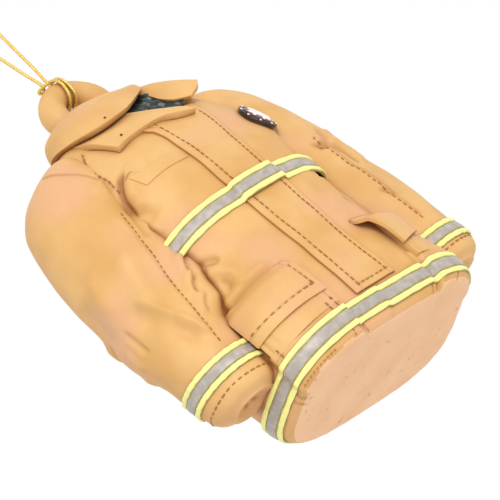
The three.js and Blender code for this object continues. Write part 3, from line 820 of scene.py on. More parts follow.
@dataclass(frozen=True)
class GlossLining:
    """Dark enamel in the throat, poured thick, so it shines in streaks."""

    name: str = "dark gloss enamel"
    dark: str = "#141a18"
    green: str = "#2c3833"

    def make(self) -> bpy.types.Material:
        """Builds the material."""
        material, tree, shader = new_material(self.name)
        streaks = ranged(tree, grain(tree, 1.4), 0.4, 0.62, 0.0, 1.0)
        colour = mixed(tree, streaks, srgb(self.dark), srgb(self.green))
        tree.links.new(colour, shader.inputs["Base Color"])
        shader.inputs["Roughness"].default_value = 0.32
        bumped(tree, shader, grain(tree, 0.8, 3.0), 0.8, 0.15)
        return material


@dataclass(frozen=True)
class GoldThread:
    """Metallised polyester yarn laid round a core: bright crests and brown valleys, painted as highlight and
    shade, with painted glints.
    """

    name: str = "gold metallised yarn"
    crest: str = "#f6d25c"
    mid: str = "#d9a432"
    valley: str = "#6e4310"
    painted_glint: str = "#fff0a8"

    def make(self) -> bpy.types.Material:
        """Builds the material."""
        material, tree, shader = new_material(self.name)
        crest = add_node(tree, "ShaderNodeAttribute", {"attribute_name": "crest"}).outputs["Fac"]
        # Painted shade in the valleys between the yarns and painted highlight on their crests.
        colour = mixed(tree, ranged(tree, crest, 0.0, 0.55, 0.0, 1.0), srgb(self.valley), srgb(self.mid))
        colour = mixed(tree, ranged(tree, crest, 0.6, 1.0, 0.0, 1.0), colour, srgb(self.crest))
        # Painted glints scattered over the yarn.
        painted_glint = ranged(tree, grain(tree, 0.25, 2.0), 0.4, 0.62, 0.0, 0.5)
        colour = mixed(tree, painted_glint, colour, srgb(self.painted_glint))
        tree.links.new(colour, shader.inputs["Base Color"])
        shader.inputs["Metallic"].default_value = 0.75
        shader.inputs["Roughness"].default_value = 0.34
        bumped(tree, shader, grain(tree, 0.16, 2.0), 0.7, 0.04)
        return material


@dataclass
class Palette:
    """Every finish of the ornament, made once."""

    resin: bpy.types.Material = field(default_factory=lambda: PaintedResin().make())
    base: bpy.types.Material = field(default_factory=lambda: BareBase().make())
    yellow: bpy.types.Material = field(default_factory=lambda: BrushedPaint(
        "pale yellow acrylic", "#efeb8e", "#e6df94", 0.5).make())
    silver: bpy.types.Material = field(default_factory=lambda: BrushedPaint(
        "silver grey acrylic", "#a39b92", "#b8ada2", 0.45, 0.15, 1.6).make())
    # The olive ground of the bands: paint, and painted shadow along the stripes' edges.
    edging: bpy.types.Material = field(default_factory=lambda: BrushedPaint(
        "olive edge of the bands", "#8e8440", "#b09650", 0.55).make())
    thread: bpy.types.Material = field(default_factory=lambda: BrushedPaint(
        "brown stitch paint", "#9c6028", "#ae7236", 0.6).make())
    lining: bpy.types.Material = field(default_factory=lambda: GlossLining().make())
    maroon: bpy.types.Material = field(default_factory=lambda: BrushedPaint(
        "maroon enamel", "#6a1f2a", "#3a1218", 0.28).make())
    cream: bpy.types.Material = field(default_factory=lambda: BrushedPaint(
        "white enamel", "#f2ece8", "#d8c8c4", 0.3).make())
    black: bpy.types.Material = field(default_factory=lambda: BrushedPaint(
        "black enamel", "#1c1416", "#2c2022", 0.3).make())
    gold: bpy.types.Material = field(default_factory=lambda: GoldThread().make())


# ---------- camera, light and floor ----------


@dataclass
class Studio:
    """A plain pale studio with soft light and the camera low in front of the coat.

    Attributes:
        azimuth: Camera's bearing, turned from the coat's front to the wearer's right.
        elevation: Camera's height as an angle, below zero when it looks up.
        roll: Turn of the picture about the line of sight.
        distance_mm: From the camera to the point that it looks at.
        aim: That point, in coat millimetres.
        lens: Focal length, for a sensor 36 mm wide.
        shift: How far the picture is moved sideways and up, in widths.
    """

    azimuth: float = -46.05
    elevation: float = -22.8
    roll: float = 51.11
    distance_mm: float = 510.3
    aim: tuple[float, float, float] = (0.0, 0.0, 32.94)
    lens: float = 192.76
    shift: tuple[float, float] = (-0.01494, 0.02288)

    def axes(self) -> tuple[Vector, Vector, Vector]:
        """The picture's right and up, and the way back to the camera."""
        a, e, r = (math.radians(x) for x in (self.azimuth, self.elevation, self.roll))
        back = Vector((math.sin(a) * math.cos(e), -math.cos(a) * math.cos(e), math.sin(e)))
        level = Vector((math.cos(a), math.sin(a), 0.0))
        rise = back.cross(level)
        return level * math.cos(r) - rise * math.sin(r), level * math.sin(r) + rise * math.cos(r), back

    def target(self) -> Vector:
        """The point that the camera looks at, in the frame."""
        return Vector(metres(np.array(self.aim)))

    def add_camera(self) -> None:
        """Places the camera and makes it the scene's."""
        data = bpy.data.cameras.new("camera")
        camera = bpy.data.objects.new("camera", data)
        bpy.context.scene.collection.objects.link(camera)
        right, up, back = self.axes()
        turn = camera.matrix_world.to_3x3()
        for row in range(3):
            turn[row][0], turn[row][1], turn[row][2] = right[row], up[row], back[row]
        camera.matrix_world = turn.to_4x4()
        camera.location = self.target() + back * (self.distance_mm * MM)
        data.sensor_width, data.lens = 36.0, self.lens
        data.shift_x, data.shift_y = self.shift
        data.clip_start, data.clip_end = 0.01, 20.0
        bpy.context.scene.camera = camera

    def add_light(self, name: str, direction: Vector, distance: float, size: float, power: float) -> None:
        """Adds one soft square lamp that faces the coat."""
        data = bpy.data.lights.new(name, "AREA")
        data.size, data.energy = size, power
        lamp = bpy.data.objects.new(name, data)
        bpy.context.scene.collection.objects.link(lamp)
        way = direction.normalized()
        lamp.location = self.target() + way * distance
        lamp.rotation_mode = "QUATERNION"
        lamp.rotation_quaternion = way.to_track_quat("Z", "Y")

    def build(self) -> None:
        """Makes the camera, lamps, pale surroundings and floor."""
        self.add_camera()
        right, up, back = self.axes()
        self.add_light("key lamp", up * 0.66 + back * 0.95 - right * 0.14, 0.9, 0.30, 3.5)
        self.add_light("side lamp", right * 0.9 + back * 0.5, 0.8, 0.4, 0.3)
        world = bpy.data.worlds.new("pale room")
        bpy.context.scene.world = world
        world.use_nodes = True
        world.node_tree.nodes["Background"].inputs["Color"].default_value = (1.0, 1.0, 1.0, 1.0)
        world.node_tree.nodes["Background"].inputs["Strength"].default_value = 1.0
        bpy.context.scene.view_settings.view_transform = "Standard"
        choose_only(None)
        bpy.ops.mesh.primitive_plane_add(size=6.0, location=(0.0, 0.0, self.target().z - 0.42))
        floor = bpy.context.object
        floor.name = "floor"
        material, _, shader = new_material("pale matt floor")
        shader.inputs["Base Color"].default_value = srgb("#f4f3f1")
        shader.inputs["Roughness"].default_value = 0.8
        floor.data.materials.append(material)


# ---------- cord ----------


@dataclass
class Cord:
    """The gold cord: its hitch round the ring, two strands and the knot they end in.

    Attributes:
        radius: Of the laid cord.
        lay_length: Length of one full turn of its yarns.
        ring_y: The ring's plane.
        pivot_z: Middle of the ring's bar at its top.
        wrap: Radius of a turn round the bar, to the cord's middle.
        pitch: Between the two turns.
        loop_top: Where the loop hangs.
        hook: Radius of the hook that spreads it.
        tight: Radius of the cord where the knot pinches it.
    """

    radius: float = 0.36
    lay_length: float = 1.15
    ring_y: float = RING_Y
    pivot_z: float = RING_Z + RING_RADIUS
    wrap: float = 3.46
    pitch: float = 1.7
    loop_top: float = RING_Z + RING_RADIUS + RING_BAR + 45.0
    hook: float = 5.5
    tight: float = 0.33

    @property
    def hitch_top(self) -> float:
        """Where the strands leave the hitch."""
        return self.pivot_z + self.wrap + 2 * self.radius

    def tube(self, name: str, path: Array, radius: float | None = None) -> bpy.types.Object:
        """Lays three yarns round each other along a path.

        Args:
            name: The piece's name.
            path: Points in coat millimetres.
            radius: Of the whole cord, if it isn't the usual one.

        Returns:
            The new piece, closed at both ends.
        """
        size = radius or self.radius
        step = 0.09
        line = evenly(path, step)
        ahead = unit(np.gradient(line, axis=0))
        side = np.zeros_like(ahead)
        start = np.cross(ahead[0], (0.0, 1.0, 0.15))
        side[0] = start / np.linalg.norm(start)
        for i in range(1, len(line)):
            moved = side[i - 1] - ahead[i] * (side[i - 1] @ ahead[i])
            side[i] = moved / np.linalg.norm(moved)
        other = np.cross(ahead, side)
        turn = np.arange(len(line)) * step / self.lay_length * 2 * math.pi
        rows, columns = len(line) - 1, 20

        def place(u: Array, v: Array) -> tuple[Array, dict[str, Array]]:
            row = np.rint(v * rows).astype(int)
            angle = u * 2 * math.pi
            lobes = np.abs(np.cos(1.5 * (angle - turn[row])))
            closing = np.minimum(row, rows - row)
            cap = np.sqrt(np.clip(closing / 4.0, 0, 1))
            reach = size * (0.70 + 0.30 * lobes) * cap
            sideways = side[row] * (reach * np.cos(angle))[:, None]
            crossways = other[row] * (reach * np.sin(angle))[:, None]
            return line[row] + sideways + crossways, {"crest": lobes}

        return sheet(name, columns, rows, place)

    def strand_points(self, side: Side) -> list[tuple[float, float, float]]:
        """The strand's route from the hitch to the knot over the hook."""
        low = self.hitch_top
        high = self.loop_top - self.hook
        start = side.value * self.pitch / 2
        wide = side.value * (self.hook + self.radius)

        def between(share: float) -> tuple[float, float, float]:
            return (start + (wide - start) * share, self.ring_y, low + (high - low) * share)

        return [
            (start, self.ring_y, low),
            (start, self.ring_y, low + 1.2),
            *(between(share) for share in (0.12, 0.3, 0.5, 0.7, 0.88)),
            (wide, self.ring_y, high + 0.5),
            (0.9 * wide, self.ring_y, high + 0.5 * self.hook),
            (0.62 * wide, self.ring_y, high + 0.85 * self.hook),
            (side.value * 1.35, self.ring_y, self.loop_top + self.radius + 0.1),
        ]

    def hitch(self) -> bpy.types.Object:
        """The lark's head: down behind the bar, through the eye, up in front and across."""
        y, z, r = self.ring_y, self.pivot_z, self.wrap
        half = self.pitch / 2
        low = self.hitch_top
        leg = [
            (half, y, low),
            (half, y + 1.4, z + r * 0.95),
            (half + 0.1, y + r * 0.82, z + r * 0.6),
            (half + 0.1, y + r * 1.02, z - 0.1),
            (half, y + r * 0.74, z - r * 0.72),
            (half, y, z - r),
            (half - 0.1, y - r * 0.74, z - r * 0.70),
            (half - 0.35, y - r * 1.03, z + 0.2),
            (half - 0.3, y - r * 0.80, z + r * 0.68),
            (half + 0.2, y - r * 0.30, z + r * 1.02),
            (half + 0.75, y + 0.7, z + r + 0.75),
            (half + 0.45, y + 1.75, z + r + 0.9),
        ]
        bight = (0.0, y + 2.1, z + r + 0.95)
        other = [(-px, py, pz) for px, py, pz in reversed(leg)]
        path = curve_through([*leg, bight, *other], np.linspace(0, 1, 400))
        return self.tube("cord_hitch_wraps", path)

    def knot(self) -> bpy.types.Object:
        """An overhand knot of the same cord, drawn small."""
        t = np.linspace(0, 2 * math.pi, 160)
        centre = np.array([0.0, self.ring_y, self.loop_top + self.radius + 0.4])
        size = self.radius
        loop = np.stack([
            size * (np.sin(t) + 2 * np.sin(2 * t)) * 0.9,
            size * -np.sin(3 * t) * 0.8,
            size * (np.cos(t) - 2 * np.cos(2 * t)),
        ], axis=1)
        return self.tube("cord_knot_tied", centre + loop, self.tight)

    def build(self, palette: Palette) -> None:
        """Makes the cord's pieces: the hitch, the knot and its two strands."""
        hitch = finish_piece(self.hitch(), palette.gold, "gold_cord", "cord_hitch", body="hitch", angle=80)
        knot = finish_piece(self.knot(), palette.gold, "gold_cord", "cord_knot", body="loop_knot", angle=80)
        for side in Side:
            route = np.array(self.strand_points(side))
            path = curve_through(route, np.linspace(0, 1, 120))
            strand = self.tube(f"cord_strand_{side.word}_laid", path)
            finish_piece(strand, palette.gold, "gold_cord", f"cord_strand_{side.word}", body="cord_loop",
                         angle=80)


# ---------- torso ----------


@dataclass
class Torso:
    """The coat's body with its relief, its flat underside and the dark throat.

    Attributes:
        columns: Faces round the body.
        rows: Faces from the middle of the underside to the neck.
        throat_depth: How far the open throat is sunk.
    """

    columns: int = 300
    rows: int = 262
    throat_depth: float = 3.0

    def place(self, u: Array, v: Array) -> tuple[Array, dict[str, Array]]:
        """Wraps the grid from the middle of the underside up to the neck."""
        top = BODY.height
        # Columns crowd towards the front, where most of the relief is.
        angle = (u - 0.5) * 2 * math.pi
        angle = angle - 0.36 * np.sin(angle)
        # Stages: the flat underside, the hem's edge, the wall, and the closed neck.
        knots = np.array([0.0, 0.055, 0.075, 0.955, 1.0])
        stage = np.interp(v, knots, [0.0, 1.0, 2.0, 3.0, 4.0])
        z = np.interp(stage, [0, 1, 2, 3, 4], [0.0, 0.0, 1.5, top - 0.5, top])
        distance = BODY.round_at(angle, z)
        lift, wash = body_relief(distance, z)
        spot = BODY.by_angle(angle, z) + BODY.normal(distance, z) * lift[:, None]
        depth = smooth(within(THROAT, spot[:, 0], spot[:, 2]), -0.25, 0.9) * (spot[:, 1] < 0)
        spot[:, 1] += self.throat_depth * depth
        # The hem turns under with a small, slightly worn radius.
        turn = np.clip(stage - 1.0, 0.0, 1.0)
        inward = 1.5 * (1 - turn) ** 1.8
        to_back = BODY.half_round(z) - np.abs(distance)
        inward = inward + 0.12 * (1 - turn) * rolling(distance, z, 4.1, 1.6) * smooth(to_back, 0.0, 6.0)
        flat = np.clip(stage, 0.0, 1.0)
        keep = np.where(stage < 1.0, flat, 1.0) * (1 - np.where(stage < 2.0, inward, 0.0) / 20.0)
        closing = np.where(stage > 3.0, 1 - (stage - 3.0), 1.0)
        spot[:, :2] *= (keep * closing)[:, None]
        sag = 0.10 * rolling(spot[:, 0], spot[:, 1], 1.9, 7.0) * np.where(stage < 1.0, 1 - flat**6, 0.0)
        spot[:, 2] = np.where(stage < 1.0, np.abs(sag), np.where(stage < 1.001, 0.0, spot[:, 2]))
        patchy = smooth(rolling(distance, z, 5.2, 4.0), 0.1, 0.9)
        edge_wash = 0.30 * np.exp(-((stage - 1.08) / 0.06) ** 2) * patchy
        return spot, {"wash": np.maximum(wash, edge_wash)}

    def build(self, palette: Palette) -> None:
        """Makes the body and the lining in its throat."""
        torso = sheet("coat_body", self.columns, self.rows, self.place)
        torso.data.materials.append(palette.resin)
        torso.data.materials.append(palette.base)
        level = metres(np.array([0.0, 0.0, 0.45]))[2]
        for face in torso.data.polygons:
            if face.normal.z < -0.8 and face.center.z < level:
                face.material_index = 1
        finish_piece(torso, palette.resin, "painted_resin", "torso", "collar_stand", angle=60)

        right = [(3.2, -15.0, 61.6), (-0.4, -13.8, 63.2), (-2.7, -12.4, 66.6), (-4.6, -11.0, 70.2),
                 (-4.4, -9.6, 73.0)]
        left = [(6.8, -14.6, 63.6), (7.0, -12.8, 68.0), (7.0, -11.0, 71.5), (6.0, -9.4, 74.4),
                (5.4, -8.4, 76.0)]
        middle = [(5.2, -14.2, 62.6), (3.2, -12.4, 66.0), (2.0, -11.2, 69.4), (0.6, -9.6, 72.6),
                  (0.4, -8.6, 74.6)]
        flat_rule = patch_rule([left, middle, right], 0.0, 0.0)

        def lining(u: Array, v: Array) -> tuple[Array, dict[str, Array]]:
            spot, _ = flat_rule(u, v)
            x, z = spot[:, 0], spot[:, 2]
            spot[:, 1] += 0.28 * np.sin(2.6 * x + 1.3 * z) + 0.2 * np.sin(1.9 * z - x)
            return spot, {}

        cloth = panel("throat_lining", 60, 60, lining, 0.6, 0.1)
        finish_piece(cloth, palette.lining, "lining_paint", "neck_lining")


# ---------- sleeves ----------

# Seams and folds of a sleeve, in distance round it from its outside, and height. The
# stitched seam down the front comes first, then the shoulder's step and the elbow's folds.
# Their wash is partly brown wash, partly painted shade in the creases.
SLEEVE_STROKES = (
    Stroke(((-15.6, 50.0), (-14.8, 43.0), (-14.8, 38.4), (-14.1, 32.5), (-13.8, 27.3), (-13.4, 18.6)),
           Mark.STEP, 0.7, 0.35, 0.2, 1.0),
    Stroke(((-7.2, 68.6), (-10.6, 66.8), (-13.6, 64.0), (-16.1, 61.6), (-18.4, 58.6)),
           Mark.STEP, 0.6, -0.45, 0.55, 1.5),
    Stroke(((-23.0, 50.5), (-21.6, 44.0), (-20.8, 37.0), (-20.0, 29.0), (-19.6, 22.0)),
           Mark.RIDGE, 3.2, 2.0, 0.0, 4.0),
    Stroke(((-18.6, 51.5), (-17.6, 47.0), (-17.0, 42.0)), Mark.GROOVE, 0.7, -0.4, 0.2, 1.5),
    Stroke(((-11.6, 46.0), (-10.0, 38.0), (-8.6, 30.6), (-8.2, 24.0)), Mark.RIDGE, 2.2, 0.9, 0.0, 4.0),
    Stroke(((-6.6, 36.0), (-9.0, 30.0), (-11.6, 24.0), (-13.0, 20.6)), Mark.FOLD, 1.7, -0.9, 0.1, 3.0),
    Stroke(((-10.6, 27.4), (-12.4, 23.4), (-13.2, 20.2)), Mark.RIDGE, 1.0, 0.6, 0.0, 1.5),
    Stroke(((-1.7, 34.0), (-1.9, 30.0), (-2.0, 26.0)), Mark.GROOVE, 0.4, -0.3, 0.4, 1.5),
    Stroke(((-0.4, 33.0), (-0.8, 29.6), (-0.2, 26.4)), Mark.RIDGE, 0.8, 0.5, 0.0, 1.5),
    Stroke(((-4.4, 47.0), (-3.2, 41.0), (-3.8, 36.0)), Mark.RIDGE, 1.6, 0.6, 0.0, 3.0),
    Stroke(((-19.6, 36.5), (-18.4, 33.4), (-18.0, 30.2)), Mark.FOLD, 0.9, 0.8, 0.35, 1.2),
    Stroke(((-19.0, 31.4), (-17.2, 29.4), (-16.6, 27.0)), Mark.FOLD, 0.8, 0.7, 0.4, 1.2),
    Stroke(((-18.4, 27.2), (-16.8, 25.6), (-16.4, 23.4)), Mark.FOLD, 0.8, 0.5, 0.3, 1.2),
    Stroke(((2.2, 46.0), (2.4, 40.0), (2.4, 33.0)), Mark.GROOVE, 2.4, -0.9, 0.0, 3.0),
    Stroke(((2.6, 31.4), (1.6, 29.0), (2.6, 25.5)), Mark.RIDGE, 1.5, 0.8, 0.0, 2.0),
    Stroke(((5.0, 38.0), (9.0, 34.0), (14.0, 32.0)), Mark.FOLD, 1.6, 0.8, 0.35, 3.0),
    Stroke(((6.0, 27.0), (11.0, 24.0), (17.0, 24.0)), Mark.FOLD, 1.5, 0.6, 0.3, 3.0),
    Stroke(((12.0, 60.0), (15.0, 50.0), (15.5, 40.0)), Mark.GROOVE, 2.4, -0.5, 0.0, 4.0),
)

# The left sleeve's own folds. The right one's from SHARED_FOLDS on lie on both.
SHARED_FOLDS = 12
LEFT_SLEEVE_STROKES = (
    Stroke(((-17.0, 44.0), (-15.5, 41.0), (-14.0, 37.5), (-14.0, 33.0)), Mark.FOLD, 1.3, 0.8, 0.5, 2.0),
    Stroke(((-11.0, 47.0), (-14.0, 42.5), (-17.5, 40.0)), Mark.FOLD, 1.3, 0.5, 0.4, 2.0),
    Stroke(((-18.5, 34.0), (-16.5, 31.0), (-16.0, 26.5)), Mark.RIDGE, 1.4, 0.6, 0.0, 2.0),
    Stroke(((-15.0, 43.5), (-15.4, 38.0), (-16.0, 33.0), (-16.4, 26.0), (-16.6, 18.4)),
           Mark.STEP, 0.6, 0.4, 0.5, 1.0),
)


# The radius that turns an angle on a sleeve into distance round it.
ROUND_RADIUS = 10.0


@dataclass
class Sleeve:
    """One sleeve and its turned-in cuff.

    Attributes:
        side: Which sleeve.
        reach: Centre plane to the middle of the cuff.
        elbow: Radius at the elbow.
        cuff: Radius at the band.
        end_z: Lowest edge.
        tilt: Slope of the cuff's plane, lower at the front.
        band_z: Middle of the band.
        split_z: Where the cuff parts from the sleeve, hidden under the band.
    """

    side: Side
    reach: float = 29.6
    elbow: float = 10.9
    cuff: float = 7.9
    end_z: float = 6.8
    tilt: float = 0.14
    band_z: float = 14.2
    split_z: float = 12.6

    def __post_init__(self) -> None:
        """Sets out the sections, from the cuff up to the shoulder."""
        e, c, r = self.elbow, self.cuff, self.reach
        # Height, middle across and fore-and-aft, half width, half depth.
        self.stations = np.array([
            (self.end_z, r + 0.2, -0.5, c - 3.0, c - 2.9),
            (self.end_z + 1.4, r + 0.2, -0.5, c - 1.1, c - 1.0),
            (self.band_z - 3.0, r + 0.2, -0.4, c - 0.1, c),
            (self.band_z, r, -0.3, c, c),
            (18.5, r - 0.6, 0.0, 8.5, 8.6),
            (27.0, 27.6, 0.8, e - 1.0, e - 1.0),
            (38.0, 25.6, 1.5, e, e),
            (48.0, 24.2, 1.2, e + 0.2, e + 0.2),
            (57.6, 22.8, 0.6, e + 0.1, e - 0.3),
            (65.8, 20.8, 0.3, e - 1.5, e - 1.7),
            (70.2, 18.4, 0.2, 5.4, 6.6),
            (71.4, 17.0, 0.2, 2.4, 4.0),
        ])
        if self.side is Side.LEFT:
            # The left arm hangs a little further forward than the right.
            forward = np.interp(self.stations[:, 0], [0.0, 20.0, 30.0, 50.0, 66.0], [1.8, 2.6, 3.4, 2.2, 0.0])
            self.stations[:, 2] -= forward
            self.stations[:, 1] -= 0.35 * forward

    def section(self, z: Array) -> Array:
        """Middle and half widths of the section at a height."""
        return between_stations(self.stations[:, 0], self.stations[:, 1:], z)

    def strokes(self) -> tuple[Stroke, ...]:
        """The folds of this sleeve."""
        if self.side is Side.RIGHT:
            return SLEEVE_STROKES
        return LEFT_SLEEVE_STROKES + SLEEVE_STROKES[SHARED_FOLDS:]

    def relief(self, angle: Array, z: Array) -> tuple[Array, Array]:
        """Lift and wash at an angle, counted from the outside and below zero at the front."""
        round_mm = angle * ROUND_RADIUS
        lift, wash = relief_of(self.strokes(), round_mm, z)
        waves = rolling(round_mm, z, 1.1 if self.side is Side.RIGHT else 3.3, 7.5)
        fine = rolling(round_mm, z, 2.9, 2.8)
        calm = smooth(z, 16.0, 22.0)
        return lift * calm + (0.08 + 0.32 * calm) * waves + 0.05 * fine, wash

    def point(self, angle: Array, z: Array, lift: Array | float = 0.0) -> Array:
        """Points on the sleeve, lifted off it."""
        angle, z = np.broadcast_arrays(np.asarray(angle, float), np.asarray(z, float))
        x, y, w, d = self.section(z).T
        rise = np.broadcast_to(lift, z.shape) + self.relief(angle, z)[0]
        across, deep = (w + rise) * np.cos(angle), (d + rise) * np.sin(angle)
        slope = self.tilt * (1 - smooth(z, self.band_z + 4, self.band_z + 16))
        return np.stack([self.side.value * (x + across), y + deep, z + slope * deep], axis=1)

    def band_point(self, u: Array, z: Array, lift: Array) -> Array:
        """The sleeve band's surface. The left one lies a little lower."""
        drop = 1.1 if self.side is Side.LEFT else 0.0
        return self.point(u * 2 * math.pi - math.pi, self.band_z - drop + 0.95 * z, lift + 0.15)

    def cloth(self, name: str, rows: Sequence[tuple[float, float]], columns: int,
              count: int) -> bpy.types.Object:
        """A closed length of sleeve.

        Args:
            name: The piece's name.
            rows: Height and share of the full radius at even steps.
            columns: Faces round.
            count: Faces along.

        Returns:
            The new piece.
        """
        heights, shares = np.array(rows, float).T
        steps = np.linspace(0, 1, len(heights))

        def place(u: Array, v: Array) -> tuple[Array, dict[str, Array]]:
            z, share = np.interp(v, steps, heights), np.interp(v, steps, shares)
            angle = (u - 0.5) * 2 * math.pi - math.pi / 2
            angle = np.where(angle < -math.pi, angle + 2 * math.pi, angle)
            spot = self.point(angle, z)
            x, y, _, _ = self.section(z).T
            middle = np.stack([self.side.value * x, y, z], axis=1)
            _, wash = self.relief(angle, z)
            # Painted shade, with brown wash, in the dimple of the cuff's closed end.
            dimple = 0.8 * np.exp(-(((share - 0.22) / 0.16) ** 2)) * (z < self.end_z + 2.0)
            wash = np.maximum(wash, dimple * (0.6 + 0.4 * np.sin(5 * angle)))
            return middle + (spot - middle) * share[:, None], {"wash": wash}

        return sheet(name, columns, count, place)

    def build(self, palette: Palette) -> None:
        """Makes the sleeve and its cuff."""
        word = self.side.word
        top = self.stations[-1, 0]
        rows = [(self.split_z, 0.0), (self.split_z, 0.9)]
        rows += [(self.split_z + 0.1 + (top - self.split_z - 0.1) * k / 60, 1.0) for k in range(61)]
        rows += [(top + 0.25, 0.55), (top + 0.35, 0.0)]
        sleeve = self.cloth(f"sleeve_{word}_cloth", rows, 180, 190)
        finish_piece(sleeve, palette.resin, "painted_resin", f"sleeve_{word}", angle=60)

        cuff_rows = [(self.split_z + 0.2, 0.0), (self.split_z + 0.2, 0.95)]
        cuff_rows += [(self.split_z - (self.split_z - self.end_z) * k / 16, 1.0) for k in range(17)]
        # The closed end is dished in to a dimple at its middle.
        dish = ((-0.05, 0.86), (0.25, 0.7), (0.75, 0.48), (1.25, 0.26), (1.6, 0.1), (1.75, 0.0))
        cuff_rows += [(self.end_z + rise, share) for rise, share in dish]
        cuff = self.cloth(f"cuff_{word}_cloth", cuff_rows, 120, 90)
        finish_piece(cuff, palette.resin, "painted_resin", f"cuff_{word}", angle=60)


# ---------- bands ----------


@dataclass(frozen=True)
class StripeRow:
    """One stripe of a reflective band.

    Attributes:
        word: Its name, as its CAD node ends.
        step: Its middle above the band's.
        width: Across.
    """

    word: str
    step: float
    width: float


STRIPES = (
    StripeRow("yellow_upper", 1.85, 1.15),
    StripeRow("silver", 0.0, 2.1),
    StripeRow("yellow_lower", -1.85, 1.15),
)


@dataclass
class Band:
    """A reflective band: two yellow stripes and a silver one on an olive ground, whose dark edges round the
    stripes are partly paint and partly painted shadow.

    Attributes:
        name: The band's name, as its CAD nodes begin.
        surface: Gives points from a share of the way round, a height above the band's
            middle and a lift.
        columns: Faces round.
        thickness: How far the stripes stand out.
        sunk: How far they reach into the casting.
        ground: Width of the ground under them.
        seed: Start of the unevenness of its edges.
    """

    name: str
    surface: Callable[[Array, Array, Array], Array]
    columns: int
    thickness: float = 0.42
    sunk: float = 0.3
    ground: float = 5.0
    seed: float = 0.0

    def strip(self, name: str, middle: float, width: float, high: float, wobble: float) -> bpy.types.Object:
        """One closed strip all the way round, with a rounded section.

        Args:
            name: The piece's name.
            middle: Height of its middle above the band's.
            width: Of the strip.
            high: How far its face stands out.
            wobble: Unevenness of its edges.

        Returns:
            The new piece.
        """
        corner = min(0.22, width / 4)
        half, low = width / 2, -self.sunk
        rising = [(-half, low), (-half, high - corner), (-half + 0.3 * corner, high - 0.3 * corner),
                  (-half + corner, high), (-half * 0.4, high + 0.05)]
        falling = [(-z, lift) for z, lift in reversed(rising)]
        profile = np.array([*rising, *falling, rising[0]])
        rows = len(profile) - 1

        def place(u: Array, v: Array) -> tuple[Array, dict[str, Array]]:
            row = np.rint(v * rows).astype(int)
            z, lift = profile[row].T
            turn = u * 2 * math.pi
            waves = np.sin(23 * turn + self.seed + middle) + 0.7 * np.sin(41 * turn + 2 * self.seed)
            shake = wobble * waves
            bulge = 0.05 * np.sin(17 * turn + 3 * middle + self.seed)
            return self.surface(u, middle + z + shake * np.sign(z + 1e-9), lift + bulge * (lift > low)), {}

        return sheet(name, self.columns, rows, place)

    def build(self, palette: Palette) -> None:
        """Makes the ground and the three stripes."""
        for row in STRIPES:
            strip = self.strip(f"{self.name}_{row.word}_paint", row.step, row.width, self.thickness, 0.035)
            silver = row.word == "silver"
            finish_piece(strip, palette.silver if silver else palette.yellow,
                         "band_silver" if silver else "band_yellow", f"{self.name}_{row.word}", angle=50)
        # The olive ground shows as dark edges round the stripes: partly paint, partly painted shadow.
        ground = self.strip(f"{self.name}_edging", 0.0, self.ground, self.thickness - 0.2, 0.02)
        finish_piece(ground, palette.edging, "band_yellow", angle=50)


# Heights of the two bands' middles.
HEM_BAND_Z, CHEST_BAND_Z = 4.25, 37.7


def layer_lift(distance: Array, start: float, end: float, height: float, ramp: float = 0.5) -> Array:
    """How far a layer between two distances lifts what lies on it."""
    return height * np.minimum(smooth(distance, start - ramp, start), 1 - smooth(distance, end, end + ramp))


def hem_band_point(u: Array, z: Array, lift: Array) -> Array:
    """The hem band's surface: it steps out over the pockets."""
    level = HEM_BAND_Z + 0.92 * z
    distance = (2 * u - 1) * BODY.half_round(level)
    over = pocket_step(distance)
    lap = 0.16 * layer_lift(distance, -2.6, 10.4, 1.0, 0.25)
    back = smooth(BODY.half_round(level) - np.abs(distance), 0.0, 12.0)
    drop = (-0.35 * smooth(distance, -2.9, -2.4) - 0.35 * smooth(distance, 9.8, 10.6)) * back
    return BODY.point(distance, level + drop, 0.15 + over + lap + lift)


def chest_band_point(u: Array, z: Array, lift: Array) -> Array:
    """The chest band's surface: it steps over the storm flap and drops a little past it."""
    distance = (2 * u - 1) * BODY.half_round(CHEST_BAND_Z + z)
    over = layer_lift(distance, -7.2, 3.6, 0.75, 0.5)
    past = smooth(distance, 3.7, 4.5)
    dip = -0.45 * past * (1 - smooth(distance, 26.0, 34.0))
    back = smooth(BODY.half_round(CHEST_BAND_Z + z) - np.abs(distance), 0.0, 12.0)
    level = CHEST_BAND_Z + dip * back + z - 0.3 * np.exp(-(((distance + 8.0) / 5.0) ** 2))
    return BODY.point(distance, level, 0.15 + over + lift)


# ---------- patches on the front ----------


# The storm flap's lower end, and its upper one under the collar.
FLAP_LOW, FLAP_HIGH = 7.0, 62.8


def line_at(distance: Array, middle: float, width: float) -> Array:
    """A soft line across a surface: 1 at its middle, running out over its width."""
    return np.exp(-(((distance - middle) / width) ** 2))


def flap_edges(z: Array) -> tuple[Array, Array]:
    """The storm flap's right and left edge at a height, as distances round the body."""
    right = np.interp(z, [FLAP_LOW, 20.0, 31.0, 42.0, 50.0, 57.0, 60.0, 61.8, FLAP_HIGH],
                      [-6.9, -7.0, -7.4, -7.3, -6.4, -5.7, -6.0, -7.6, -10.5])
    left = np.interp(z, [FLAP_LOW, 21.0, 30.0, 36.0, 45.0, 49.0, 58.0, FLAP_HIGH],
                     [4.1, 3.6, 3.4, 3.7, 4.7, 5.5, 7.4, 8.2])
    return right, left


